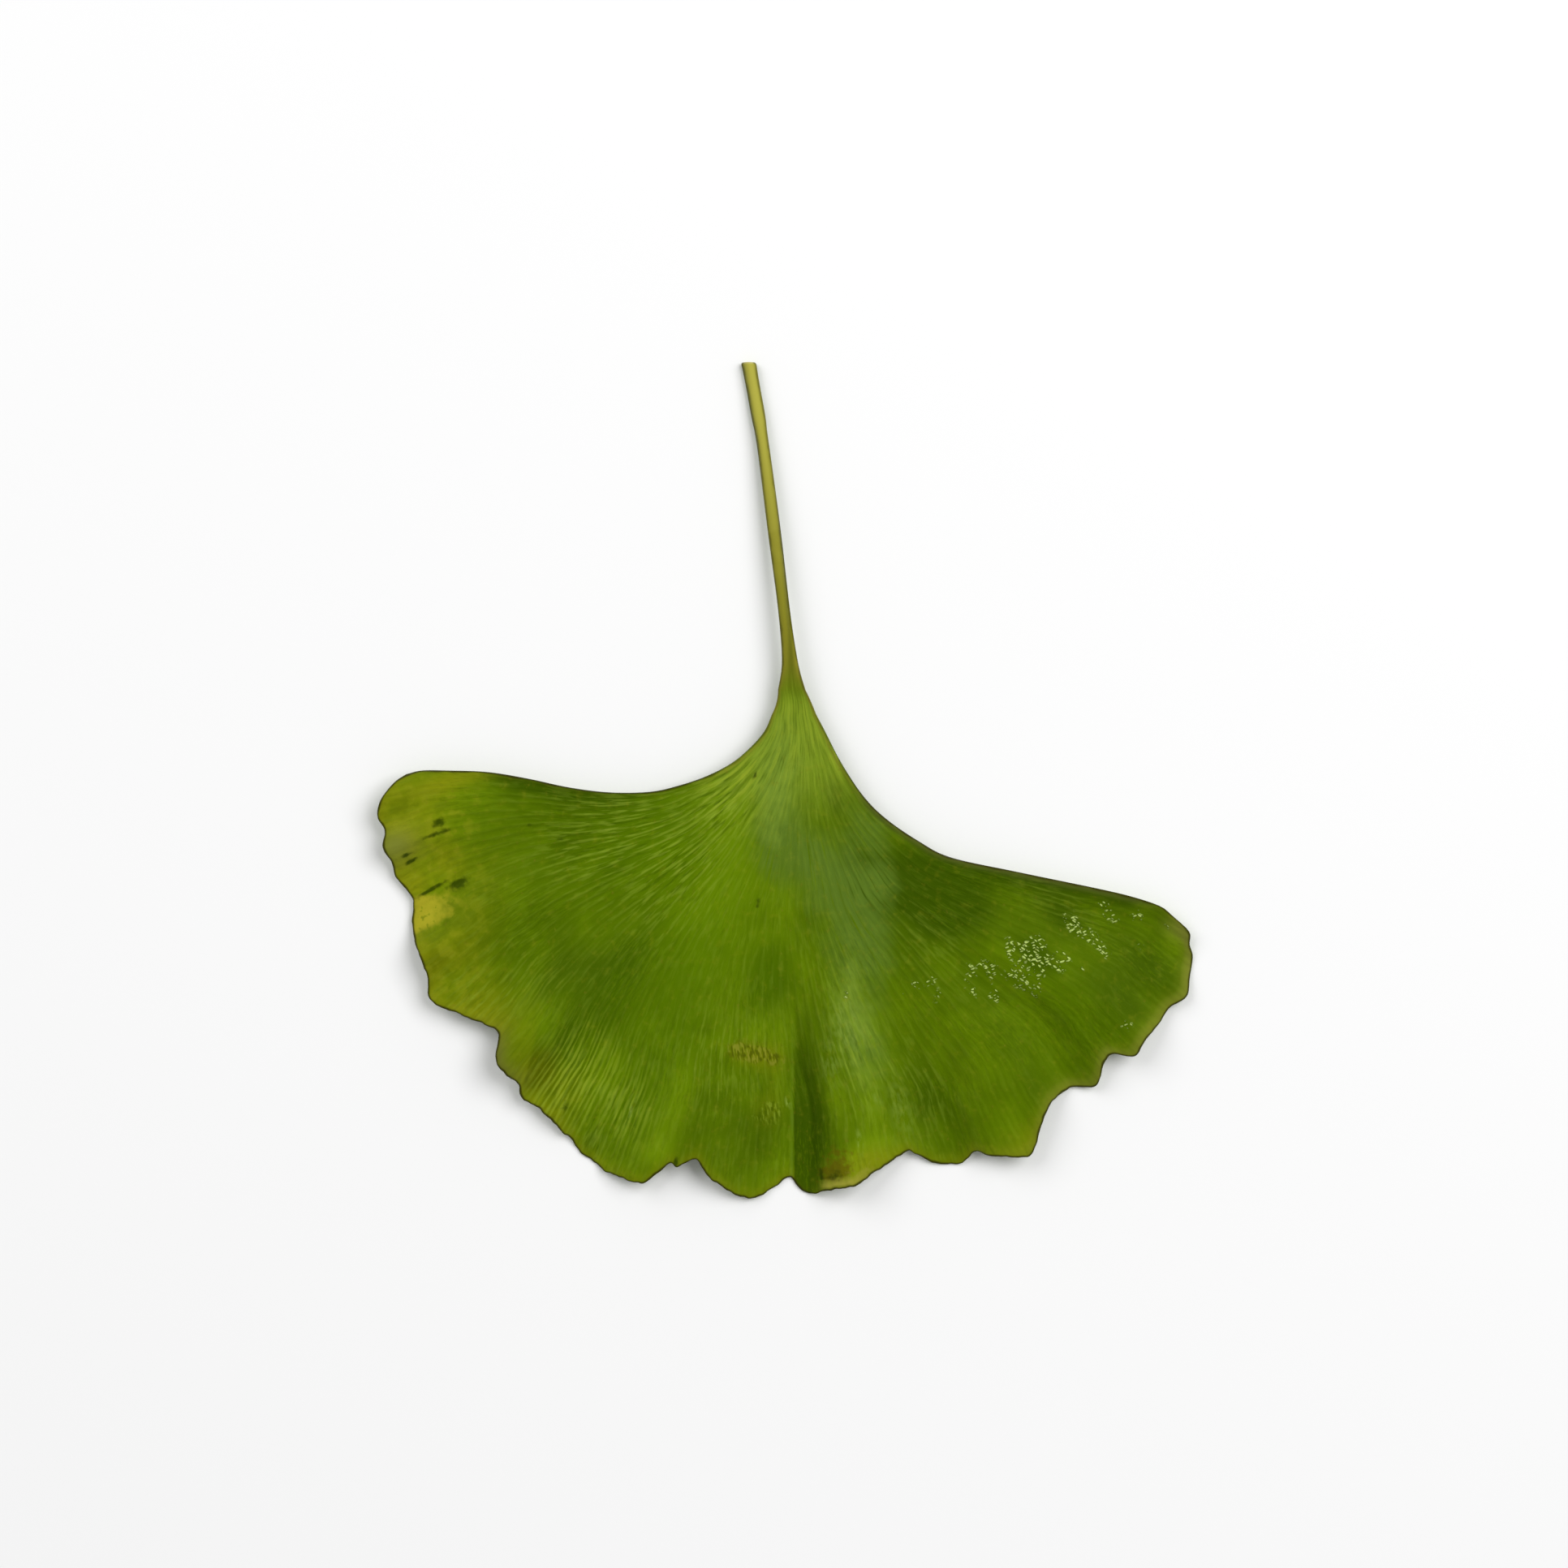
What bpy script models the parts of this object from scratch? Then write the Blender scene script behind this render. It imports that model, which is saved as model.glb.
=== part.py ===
"""A ginkgo leaf: a fan-shaped blade grown in one piece with its petiole, lying on a flat surface.

The petiole runs along +Y, the fan spreads towards -Y, and +Z is up. The origin lies on the surface,
under the middle of the leaf's outline. Lengths are in millimetres until the mesh is made.
"""

import math

import bmesh
import bpy
import numpy as np

MM = 0.001

# Where the petiole opens into the fan. Places on the leaf are given as (across, reach): across runs
# from 0 at the left side edge to 1 at the right one, and reach is the length of vein from here.
JUNCTION = np.array([0.6, 8.4])

# The petiole: its middle line as (y, x), and its width by reach, with the wider cut end, the slim
# middle and the flare into the blade
PETIOLE_LINE = [(8.4, 0.6), (11.4, 0.4), (15.6, -0.08), (20.4, -0.66), (30.0, -1.88),
                (34.8, -2.58), (40.8, -3.66)]
PETIOLE_LENGTH = 32.4
PETIOLE_WIDTHS = [(-PETIOLE_LENGTH, 1.25), (-32.3, 1.44), (-32.1, 1.5), (-31.5, 1.45), (-30.0, 1.4),
                  (-27.0, 1.4), (-24.6, 1.22), (-16.0, 1.3), (-9.5, 1.18), (-6.5, 1.22), (-4.0, 1.4),
                  (-2.0, 1.78), (0.0, 2.7)]
PETIOLE_THICKNESS = 1.2
PETIOLE_EDGE = 0.24
SLIM_REACH = -12.0
FLARE_REACH = 7.0

# The petiole's groove winds from its right side onto the top as it nears the blade, and a second
# hollow runs off its left side near the cut end. Each is a line of (reach, across).
GROOVE_LINE = [(-22.0, 1.25), (-16.0, 0.98), (-11.0, 0.84), (-6.0, 0.72), (-3.0, 0.55), (0.0, 0.5),
               (9.0, 0.5)]
HOLLOW_LINE = [(-PETIOLE_LENGTH, 0.12), (-28.0, 0.1), (-22.0, 0.0), (-17.0, -0.3)]
GROOVE_DEPTH = 0.16
GROOVE_WIDTH = 0.16

# Reaches between which the round petiole flattens into the blade
FLATTEN_START = -3.0
FLATTEN_END = 9.0

# The blade's side edges, from the junction outwards
LEFT_EDGE = [(-1.35, 6.0), (-2.05, 4.4), (-3.4, 2.8), (-5.3, 1.2), (-7.8, -0.1), (-10.6, -1.05),
             (-13.4, -1.65), (-17.4, -1.7), (-21.4, -1.2), (-25.35, -0.35), (-29.35, 0.3), (-33.4, 0.45),
             (-35.85, 0.45), (-37.35, 0.1)]
RIGHT_EDGE = [(3.0, 6.0), (3.85, 4.4), (5.5, 1.2), (7.65, -2.05), (9.9, -4.3), (13.1, -6.5),
              (16.25, -8.1), (22.65, -9.5), (30.6, -11.15), (34.2, -12.0), (37.0, -12.95), (38.2, -13.9)]

# The cut outer margin, from the left corner round to the right one
MARGIN = [(-37.35, 0.1), (-38.35, -0.55), (-39.3, -1.6), (-40.0, -2.75), (-40.2, -4.2), (-39.5, -5.5),
          (-39.7, -7.1), (-38.9, -8.55), (-38.5, -10.15), (-37.0, -11.9), (-36.85, -13.2),
          (-36.95, -14.8), (-36.4, -16.85), (-35.7, -18.75), (-35.25, -20.2), (-35.15, -21.85),
          (-34.25, -22.8), (-31.5, -23.8), (-29.45, -24.7), (-28.35, -25.45), (-28.45, -27.8),
          (-27.8, -29.2), (-26.4, -30.45), (-26.15, -31.65), (-24.35, -32.9), (-22.45, -34.9),
          (-21.25, -35.85), (-20.45, -37.2), (-18.35, -38.8), (-15.75, -39.9), (-14.1, -40.35),
          (-12.7, -39.25), (-11.35, -38.2), (-10.7, -38.6), (-9.0, -37.9), (-7.7, -39.4), (-5.55, -41.05),
          (-3.65, -41.95), (-1.25, -40.85), (0.35, -39.8), (1.25, -40.95), (2.6, -41.35), (4.8, -40.8),
          (6.6, -40.6), (8.9, -39.0), (10.7, -38.1), (12.05, -37.1), (12.9, -37.45), (15.35, -38.55),
          (17.45, -38.35), (18.8, -37.1), (20.25, -37.6), (22.2, -37.65), (24.0, -37.55), (24.65, -36.35),
          (25.3, -34.4), (26.15, -32.4), (28.05, -31.0), (30.65, -30.7), (31.35, -28.45), (32.3, -27.55),
          (34.4, -27.7), (35.45, -26.05), (36.85, -24.6), (37.95, -23.0), (39.65, -21.85), (40.0, -20.0),
          (40.3, -18.0), (39.95, -16.75), (39.85, -15.45), (38.2, -13.9)]

# The middle of the outline that these places give, which is put over the origin
MIDDLE = (0.04, -0.57)

POINTS_PER_SPAN = 10
UNFOLD_STEPS = 40

# Thickness of the blade, measured upright, and how far its ribs stand out of the top and the underside
BLADE_THICKNESS = 0.8
RIB_RISE = 0.22
RIB_DROP = 0.12
RIB_SHARP_ANGLE = 16.0
SIDE_RIM_RISE = 0.25
SIDE_RIM_WIDTH = 0.05
SIDE_RIM_FADE = 14.0
SIDE_RIM_END = 30.0

# Height of the leaf's middle surface above the table, by reach
SPINE_HEIGHTS = [(-PETIOLE_LENGTH, 0.52), (-29.0, 0.62), (-20.0, 1.2), (-9.0, 1.9), (0.0, 2.1),
                 (12.0, 2.4), (26.0, 2.5), (38.0, 2.1), (52.0, 1.7)]

# Radial folds of the blade, as (across at 40 mm, drift across in 10 mm, half width, rise, reach where
# it starts, reach where it is full). A negative rise is a valley.
FOLD_MIDDLE = 40.0
DRIFT_LENGTH = 10.0
FOLDS = [
    (0.030, 0.0, 0.060, 0.7, 18, 40),
    (0.122, 0.0, 0.050, -1.3, 24, 42),
    (0.185, 0.0, 0.060, 0.7, 22, 44),
    (0.310, -0.037, 0.070, 1.5, 20, 44),
    (0.395, 0.0, 0.060, -1.3, 26, 44),
    (0.470, 0.0, 0.070, 0.9, 22, 44),
    (0.625, -0.012, 0.055, 1.1, 24, 44),
    (0.712, -0.022, 0.055, -1.4, 30, 46),
    (0.775, -0.010, 0.050, 0.9, 28, 46),
    (0.830, 0.0, 0.035, -1.1, 30, 46),
    (0.880, 0.0, 0.045, 0.8, 26, 44),
    (0.965, 0.0, 0.060, -1.2, 22, 46),
]

# The sharp crease down the middle, given alike, and how its sides bend
CREASE = (0.576, -0.012, 0.052, -2.6, 24, 44)
CREASE_BEND = 1.4

# Small waves of the margin, unevenly spaced, that fade out inwards
FLUTTER_RISE = 0.3
FLUTTER_WAVES = 17
FLUTTER_UNEVENNESS = 2.0
FLUTTER_DRIFT = 7.0
FLUTTER_REACH = 9.0

# Mesh columns across the fan, doubled at each fork of the veins and once more at the margin
FIRST_COLUMNS = 12
FORKS = [4.5, 11.0, 22.0]
FORK_LENGTH = 3.0
ROWS_PER_STRETCH = [4, 5, 7, 13]
PETIOLE_ROWS = [-PETIOLE_LENGTH, -32.3, -32.1, -31.2, -30.0, -28.0, -26.0, -24.6, -22.0, -20.0, -18.0,
                -16.0, -14.0, -12.0, -10.0, -8.0, -6.5, -5.2, -4.0, -3.0, -2.0, -1.0]

LEAF_GREEN = (0.13, 0.23, 0.012, 1.0)
LEAF_METALLIC = 0.0
LEAF_ROUGHNESS = 0.5


def ease(value, start, end):
    """A smooth step from 0 at start to 1 at end."""
    share = np.clip((value - start) / (end - start), 0.0, 1.0)
    return share * share * (3.0 - 2.0 * share)


def smooth_curve(points):
    """Points along a Catmull-Rom curve through the given ones."""
    p = np.array(points, float)
    p = np.vstack([2 * p[0] - p[1], p, 2 * p[-1] - p[-2]])
    t = np.linspace(0.0, 1.0, POINTS_PER_SPAN, endpoint=False)[:, None]
    spans = []
    for a, b, c, d in zip(p, p[1:], p[2:], p[3:]):
        bend = (2 * a - 5 * b + 4 * c - d) * t**2 + (3 * b - a - 3 * c + d) * t**3
        spans.append(b + 0.5 * ((c - a) * t + bend))
    return np.vstack(spans + [p[-2:-1]])


def read_curve(points, at):
    """The second value of a smooth curve where its first value is at."""
    curve = smooth_curve(points)
    return np.interp(at, curve[:, 0], curve[:, 1])


def root_width(reach):
    """Width of the petiole, which fades out as the fan takes over."""
    fade = np.exp(-((np.maximum(reach, 0.0) / FLARE_REACH) ** 2))
    return read_curve(PETIOLE_WIDTHS, np.minimum(reach, 0.0)) * fade


def unfold(points, side):
    """Reach and angle of outline points. Side is -0.5 on the left edge, 0.5 on the right, else 0."""
    away = np.array(points, float) - JUNCTION
    reach = np.hypot(away[:, 0], away[:, 1])
    for _ in range(UNFOLD_STEPS):
        sideways = away[:, 0] - side * root_width(reach)
        reach = np.hypot(sideways, away[:, 1])
    return reach, np.arctan2(sideways, -away[:, 1])


LEFT_REACH, LEFT_ANGLE = unfold(smooth_curve(LEFT_EDGE), -0.5)
RIGHT_REACH, RIGHT_ANGLE = unfold(smooth_curve(RIGHT_EDGE), 0.5)


def side_angles(reach):
    """Angles from straight down at which the left and right side edges lie."""
    left = np.interp(reach, np.append(0.0, LEFT_REACH), np.append(0.0, LEFT_ANGLE))
    right = np.interp(reach, RIGHT_REACH, RIGHT_ANGLE)
    return left, right


def margin_profile():
    """Across and reach along the outer margin."""
    reach, angle = unfold(smooth_curve(MARGIN), 0.0)
    left, right = side_angles(reach)
    across = np.maximum.accumulate((angle - left) / (right - left))
    return across, reach


MARGIN_ACROSS, MARGIN_REACH = margin_profile()


def margin_reach(across):
    return np.interp(across, MARGIN_ACROSS, MARGIN_REACH)


def blade_share(reach):
    """0 on the round petiole, 1 on the flat blade."""
    return ease(reach, FLATTEN_START, FLATTEN_END)


def plan_point(across, reach):
    """X and Y of a place on the leaf."""
    round_spacing = -0.5 * np.cos(math.pi * across)
    spacing = round_spacing + (across - 0.5 - round_spacing) * blade_share(reach)
    left, right = side_angles(reach)
    angle = left + (right - left) * across
    along = np.maximum(reach, 0.0)
    stalk_y = JUNCTION[1] - np.minimum(reach, 0.0)
    stalk_x = read_curve(PETIOLE_LINE, stalk_y)
    x = stalk_x + spacing * root_width(reach) + along * np.sin(angle)
    y = stalk_y - along * np.cos(angle)
    return x, y


def fold_distance(fold, across, reach):
    """0 on a fold's line, 1 where the fold ends beside it."""
    place, drift, half_width = fold[:3]
    line = place + drift * (reach - FOLD_MIDDLE) / DRIFT_LENGTH
    return np.minimum(np.abs(across - line) / half_width, 1.0)


def middle_height(across, reach):
    """Height of the middle surface, with the folds and the flutter of the margin."""
    height = read_curve(SPINE_HEIGHTS, reach)
    for fold in FOLDS:
        rise, start, full = fold[3:]
        crest = 0.5 + 0.5 * np.cos(math.pi * fold_distance(fold, across, reach))
        height = height + rise * crest * ease(reach, start, full)
    rise, start, full = CREASE[3:]
    valley = (1.0 - fold_distance(CREASE, across, reach)) ** CREASE_BEND
    height = height + rise * valley * ease(reach, start, full)
    inside = margin_reach(across) - reach
    drift = FLUTTER_UNEVENNESS * np.sin(FLUTTER_DRIFT * across)
    flutter = np.sin(2.0 * math.pi * FLUTTER_WAVES * across + drift)
    return height + FLUTTER_RISE * flutter * ease(-inside, -FLUTTER_REACH, 0.0)


def rib_relief(across, reach):
    """Ribs that fork as the fan widens: 0 in the furrows, 1 on the ribs."""
    relief = -np.cos(math.pi * FIRST_COLUMNS * across)
    columns = FIRST_COLUMNS
    for fork in FORKS:
        columns *= 2
        forked = -np.cos(math.pi * columns * across)
        relief = relief + (forked - relief) * ease(reach, fork, fork + FORK_LENGTH)
    return (0.5 + 0.5 * relief) * blade_share(reach)


def half_thickness(across, reach):
    """Half of the upright thickness: a flat oval in the petiole, even in the blade."""
    full = 0.5 * PETIOLE_THICKNESS * root_width(np.minimum(reach, 0.0)) / root_width(SLIM_REACH)
    full = np.minimum(full, 0.5 * PETIOLE_THICKNESS)
    oval = 0.5 * PETIOLE_EDGE + (full - 0.5 * PETIOLE_EDGE) * np.sin(math.pi * across)
    return oval + (0.5 * BLADE_THICKNESS - oval) * blade_share(reach)


def top_relief(across, reach):
    """What stands above the plain top face: ribs and side rims on the blade, a groove in the stalk."""
    from_side = np.minimum(across, 1.0 - across)
    rim = SIDE_RIM_RISE * np.exp(-(from_side / SIDE_RIM_WIDTH) ** 2) * blade_share(reach)
    rim = rim * (1.0 - ease(reach, SIDE_RIM_FADE, SIDE_RIM_END))
    groove = np.exp(-(((across - read_curve(GROOVE_LINE, reach)) / GROOVE_WIDTH) ** 2))
    hollow = np.exp(-(((across - read_curve(HOLLOW_LINE, reach)) / GROOVE_WIDTH) ** 2))
    sunk = GROOVE_DEPTH * np.maximum(groove, hollow) * (1.0 - blade_share(reach))
    return RIB_RISE * rib_relief(across, reach) + rim - sunk


def row_faces(across, reach):
    """The top and the underside of one row of points. The underside never dips below the table."""
    x, y = plan_point(across, reach)
    x, y = x - MIDDLE[0], y - MIDDLE[1]
    half = half_thickness(across, reach)
    under = np.maximum(middle_height(across, reach) - half, 0.0)
    top = under + 2.0 * half + top_relief(across, reach)
    under = np.maximum(under - RIB_DROP * rib_relief(across, reach), 0.0)
    return np.column_stack([x, y, top]), np.column_stack([x, y, under])


def leaf_rows():
    """Rows of points from the petiole's end to the margin, as (top, underside) pairs."""
    rows = []
    columns = FIRST_COLUMNS
    across = np.linspace(0.0, 1.0, columns + 1)
    for reach in PETIOLE_ROWS:
        rows.append(row_faces(across, np.full_like(across, reach)))
    start = 0.0
    for number, count in enumerate(ROWS_PER_STRETCH):
        across = np.linspace(0.0, 1.0, columns + 1)
        end = FORKS[number] if number < len(FORKS) else margin_reach(across)
        for step in range(count):
            reach = start + (end - start) * step / count
            rows.append(row_faces(across, reach * np.ones_like(across)))
        start = FORKS[number] if number < len(FORKS) else start
        columns *= 2
    across = np.linspace(0.0, 1.0, columns + 1)
    rows.append(row_faces(across, margin_reach(across)))
    return rows


def strip_triangles(upper, lower):
    """Triangles between two rows of vertices seen from above, where the lower may have twice as many."""
    triangles = []
    for i in range(len(upper) - 1):
        a, b = upper[i], upper[i + 1]
        if len(lower) == len(upper):
            c, d = lower[i + 1], lower[i]
            triangles += [(a, d, c), (a, c, b)]
        else:
            c, middle, d = lower[2 * i + 2], lower[2 * i + 1], lower[2 * i]
            triangles += [(a, d, middle), (a, middle, b), (b, middle, c)]
    return triangles


def build_mesh():
    """One closed skin: top and underside split alike, joined along the sides, the margin and the end."""
    shape = bmesh.new()
    tops, unders = [], []
    for top, under in leaf_rows():
        tops.append([shape.verts.new(point * MM) for point in top])
        unders.append([shape.verts.new(point * MM) for point in under])
    triangles = []
    for i in range(len(tops) - 1):
        triangles += strip_triangles(tops[i], tops[i + 1])
        triangles += [(c, b, a) for a, b, c in strip_triangles(unders[i], unders[i + 1])]
    left_top, left_under = [row[0] for row in tops], [row[0] for row in unders]
    right_top, right_under = [row[-1] for row in tops], [row[-1] for row in unders]
    triangles += strip_triangles(left_top, left_under)
    triangles += strip_triangles(right_under, right_top)
    triangles += strip_triangles(tops[-1], unders[-1])
    triangles += strip_triangles(unders[0], tops[0])
    for corners in triangles:
        shape.faces.new(corners)
    mesh = bpy.data.meshes.new("ginkgo_leaf")
    shape.to_mesh(mesh)
    shape.free()
    mesh.shade_smooth()
    mesh.set_sharp_from_angle(angle=math.radians(RIB_SHARP_ANGLE))
    return mesh


def leaf_material():
    """Fresh green leaf with a soft gloss."""
    material = bpy.data.materials.new("leaf green")
    material.use_nodes = True
    shader = material.node_tree.nodes["Principled BSDF"]
    shader.inputs["Base Color"].default_value = LEAF_GREEN
    shader.inputs["Roughness"].default_value = LEAF_ROUGHNESS
    shader.inputs["Metallic"].default_value = LEAF_METALLIC
    return material


def build_leaf():
    """The leaf in the scene, blade and petiole in one object."""
    leaf = bpy.data.objects.new("ginkgo_leaf", build_mesh())
    leaf.data.materials.append(leaf_material())
    bpy.context.scene.collection.objects.link(leaf)
    return leaf


for old in list(bpy.data.objects):
    bpy.data.objects.remove(old, do_unlink=True)
build_leaf()
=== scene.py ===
import math

import bpy
import numpy as np
from mathutils.kdtree import KDTree
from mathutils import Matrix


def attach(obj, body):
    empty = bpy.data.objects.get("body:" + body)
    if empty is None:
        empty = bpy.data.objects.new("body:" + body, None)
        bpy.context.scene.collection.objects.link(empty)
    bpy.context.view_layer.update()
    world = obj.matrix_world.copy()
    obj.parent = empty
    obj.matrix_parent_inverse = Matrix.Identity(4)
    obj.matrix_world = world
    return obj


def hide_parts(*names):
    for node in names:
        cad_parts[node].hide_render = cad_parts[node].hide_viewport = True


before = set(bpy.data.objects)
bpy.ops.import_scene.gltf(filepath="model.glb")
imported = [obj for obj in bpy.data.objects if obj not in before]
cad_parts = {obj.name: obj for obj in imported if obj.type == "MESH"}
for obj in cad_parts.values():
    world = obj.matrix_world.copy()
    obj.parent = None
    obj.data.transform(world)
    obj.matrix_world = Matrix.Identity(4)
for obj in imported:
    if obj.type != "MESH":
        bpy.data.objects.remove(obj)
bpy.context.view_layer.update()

# Leaf
# One ginkgo leaf, grown in one piece: a slim petiole opens into a fan of soft green tissue about a third
# of a millimetre thick. The veins enter at the petiole and fork again and again on their way to the cut
# margin, and the blade lies loose on its few lowest folds. Its sizes are given in mm.
MM = 0.001
chance = np.random.default_rng(7)

# Where the petiole opens into the fan. Places on the leaf are given as (across, reach): across runs from
# 0 at the left side edge to 1 at the right one, and reach is the length of vein from here, in mm.
JUNCTION = np.array([0.6, 8.4])
PETIOLE_LINE = [(8.4, 0.6), (11.4, 0.4), (15.6, -0.08), (20.4, -0.66), (30.0, -1.88),
                (34.8, -2.58), (40.8, -3.66)]
PETIOLE_LENGTH = 32.4
PETIOLE_WIDTHS = [(-PETIOLE_LENGTH, 1.25), (-32.3, 1.44), (-32.1, 1.5), (-31.5, 1.45), (-30.0, 1.4),
                  (-27.0, 1.4), (-24.6, 1.22), (-16.0, 1.3), (-9.5, 1.18), (-6.5, 1.22), (-4.0, 1.4),
                  (-2.0, 1.78), (0.0, 2.7)]
PETIOLE_THICKNESS = 1.2
FLARE_REACH = 7.0
FLATTEN_START = -3.0
FLATTEN_END = 9.0
LEFT_EDGE = [(-1.35, 6.0), (-2.05, 4.4), (-3.4, 2.8), (-5.3, 1.2), (-7.8, -0.1), (-10.6, -1.05),
             (-13.4, -1.65), (-17.4, -1.7), (-21.4, -1.2), (-25.35, -0.35), (-29.35, 0.3), (-33.4, 0.45),
             (-35.85, 0.45), (-37.35, 0.1)]
RIGHT_EDGE = [(3.0, 6.0), (3.85, 4.4), (5.5, 1.2), (7.65, -2.05), (9.9, -4.3), (13.1, -6.5),
              (16.25, -8.1), (22.65, -9.5), (30.6, -11.15), (34.2, -12.0), (37.0, -12.95), (38.2, -13.9)]
MARGIN = [(-37.35, 0.1), (-38.35, -0.55), (-39.3, -1.6), (-40.0, -2.75), (-40.2, -4.2), (-39.5, -5.5),
          (-39.7, -7.1), (-38.9, -8.55), (-38.5, -10.15), (-37.0, -11.9), (-36.85, -13.2),
          (-36.95, -14.8), (-36.4, -16.85), (-35.7, -18.75), (-35.25, -20.2), (-35.15, -21.85),
          (-34.25, -22.8), (-31.5, -23.8), (-29.45, -24.7), (-28.35, -25.45), (-28.45, -27.8),
          (-27.8, -29.2), (-26.4, -30.45), (-26.15, -31.65), (-24.35, -32.9), (-22.45, -34.9),
          (-21.25, -35.85), (-20.45, -37.2), (-18.35, -38.8), (-15.75, -39.9), (-14.1, -40.35),
          (-12.7, -39.25), (-11.35, -38.2), (-10.7, -38.6), (-9.0, -37.9), (-7.7, -39.4), (-5.55, -41.05),
          (-3.65, -41.95), (-1.25, -40.85), (0.35, -39.8), (1.25, -40.95), (2.6, -41.35), (4.8, -40.8),
          (6.6, -40.6), (8.9, -39.0), (10.7, -38.1), (12.05, -37.1), (12.9, -37.45), (15.35, -38.55),
          (17.45, -38.35), (18.8, -37.1), (20.25, -37.6), (22.2, -37.65), (24.0, -37.55), (24.65, -36.35),
          (25.3, -34.4), (26.15, -32.4), (28.05, -31.0), (30.65, -30.7), (31.35, -28.45), (32.3, -27.55),
          (34.4, -27.7), (35.45, -26.05), (36.85, -24.6), (37.95, -23.0), (39.65, -21.85), (40.0, -20.0),
          (40.3, -18.0), (39.95, -16.75), (39.85, -15.45), (38.2, -13.9)]


def ease(value, start, end):
    """A smooth step from 0 at start to 1 at end."""
    share = np.clip((value - start) / (end - start), 0.0, 1.0)
    return share * share * (3.0 - 2.0 * share)


def near(distance, width):
    """1 at no distance, fading to 0 beyond the width."""
    return np.exp(-((distance / width) ** 2))


def band(value, start, full, fading, end):
    """1 inside a band of values, fading to 0 on both sides of it."""
    return ease(value, start, full) * (1.0 - ease(value, fading, end))


def smooth_curve(points, per_span=10):
    """Points along a Catmull-Rom curve through the given ones."""
    p = np.array(points, float)
    p = np.vstack([2 * p[0] - p[1], p, 2 * p[-1] - p[-2]])
    t = np.linspace(0.0, 1.0, per_span, endpoint=False)[:, None]
    spans = []
    for a, b, c, d in zip(p, p[1:], p[2:], p[3:]):
        bend = (2 * a - 5 * b + 4 * c - d) * t**2 + (3 * b - a - 3 * c + d) * t**3
        spans.append(b + 0.5 * ((c - a) * t + bend))
    return np.vstack(spans + [p[-2:-1]])


def read_curve(points, at):
    """The second value of a smooth curve where its first value is at."""
    curve = smooth_curve(points)
    return np.interp(at, curve[:, 0], curve[:, 1])


def root_width(reach):
    """Width of the petiole, which fades out as the fan takes over."""
    fade = near(np.maximum(reach, 0.0), FLARE_REACH)
    return read_curve(PETIOLE_WIDTHS, np.minimum(reach, 0.0)) * fade


UNFOLD_ROUNDS = 40


def unfold(points, side):
    """Reach and angle of outline points. Side is -0.5 on the left edge, 0.5 on the right, else 0."""
    away = np.array(points, float) - JUNCTION
    reach = np.hypot(away[:, 0], away[:, 1])
    for _ in range(UNFOLD_ROUNDS):
        sideways = away[:, 0] - side * root_width(reach)
        reach = np.hypot(sideways, away[:, 1])
    return reach, np.arctan2(sideways, -away[:, 1])


left_reach, left_angle = unfold(smooth_curve(LEFT_EDGE), -0.5)
right_reach, right_angle = unfold(smooth_curve(RIGHT_EDGE), 0.5)


def side_angles(reach):
    """Angles from straight down at which the left and right side edges lie."""
    left = np.interp(reach, np.append(0.0, left_reach), np.append(0.0, left_angle))
    right = np.interp(reach, right_reach, right_angle)
    return left, right


outer_reach, outer_angle = unfold(smooth_curve(MARGIN), 0.0)
outer_left, outer_right = side_angles(outer_reach)
outer_across = np.maximum.accumulate((outer_angle - outer_left) / (outer_right - outer_left))

# Nicks and bumps of the margin, finer than its lobes, as (number of them across the fan, size in mm)
NICK_SIZES = [(23, 0.08), (47, 0.06), (91, 0.035), (160, 0.02)]
nick_starts = chance.uniform(0.0, 2.0 * math.pi, len(NICK_SIZES))


def margin_reach(across):
    """Reach of the outer margin, with its fine nicks."""
    reach = np.interp(across, outer_across, outer_reach)
    for (waves, size), start in zip(NICK_SIZES, nick_starts):
        nick = np.sin(2.0 * math.pi * waves * across + start)
        reach = reach + size * nick * np.sin(math.pi * across)
    return reach


def blade_share(reach):
    """0 on the round petiole, 1 on the flat blade."""
    return ease(reach, FLATTEN_START, FLATTEN_END)


def fan_width(reach):
    """Length of the arc across the whole fan."""
    left, right = side_angles(reach)
    return root_width(reach) + np.maximum(reach, 0.0) * (right - left)


def plan_point(across, reach):
    """X and Y of a place on the leaf."""
    round_spacing = -0.5 * np.cos(math.pi * across)
    spacing = round_spacing + (across - 0.5 - round_spacing) * blade_share(reach)
    left, right = side_angles(reach)
    angle = left + (right - left) * across
    along = np.maximum(reach, 0.0)
    stalk_y = JUNCTION[1] - np.minimum(reach, 0.0)
    stalk_x = read_curve(PETIOLE_LINE, stalk_y)
    x = stalk_x + spacing * root_width(reach) + along * np.sin(angle)
    y = stalk_y - along * np.cos(angle)
    return x, y


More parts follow.
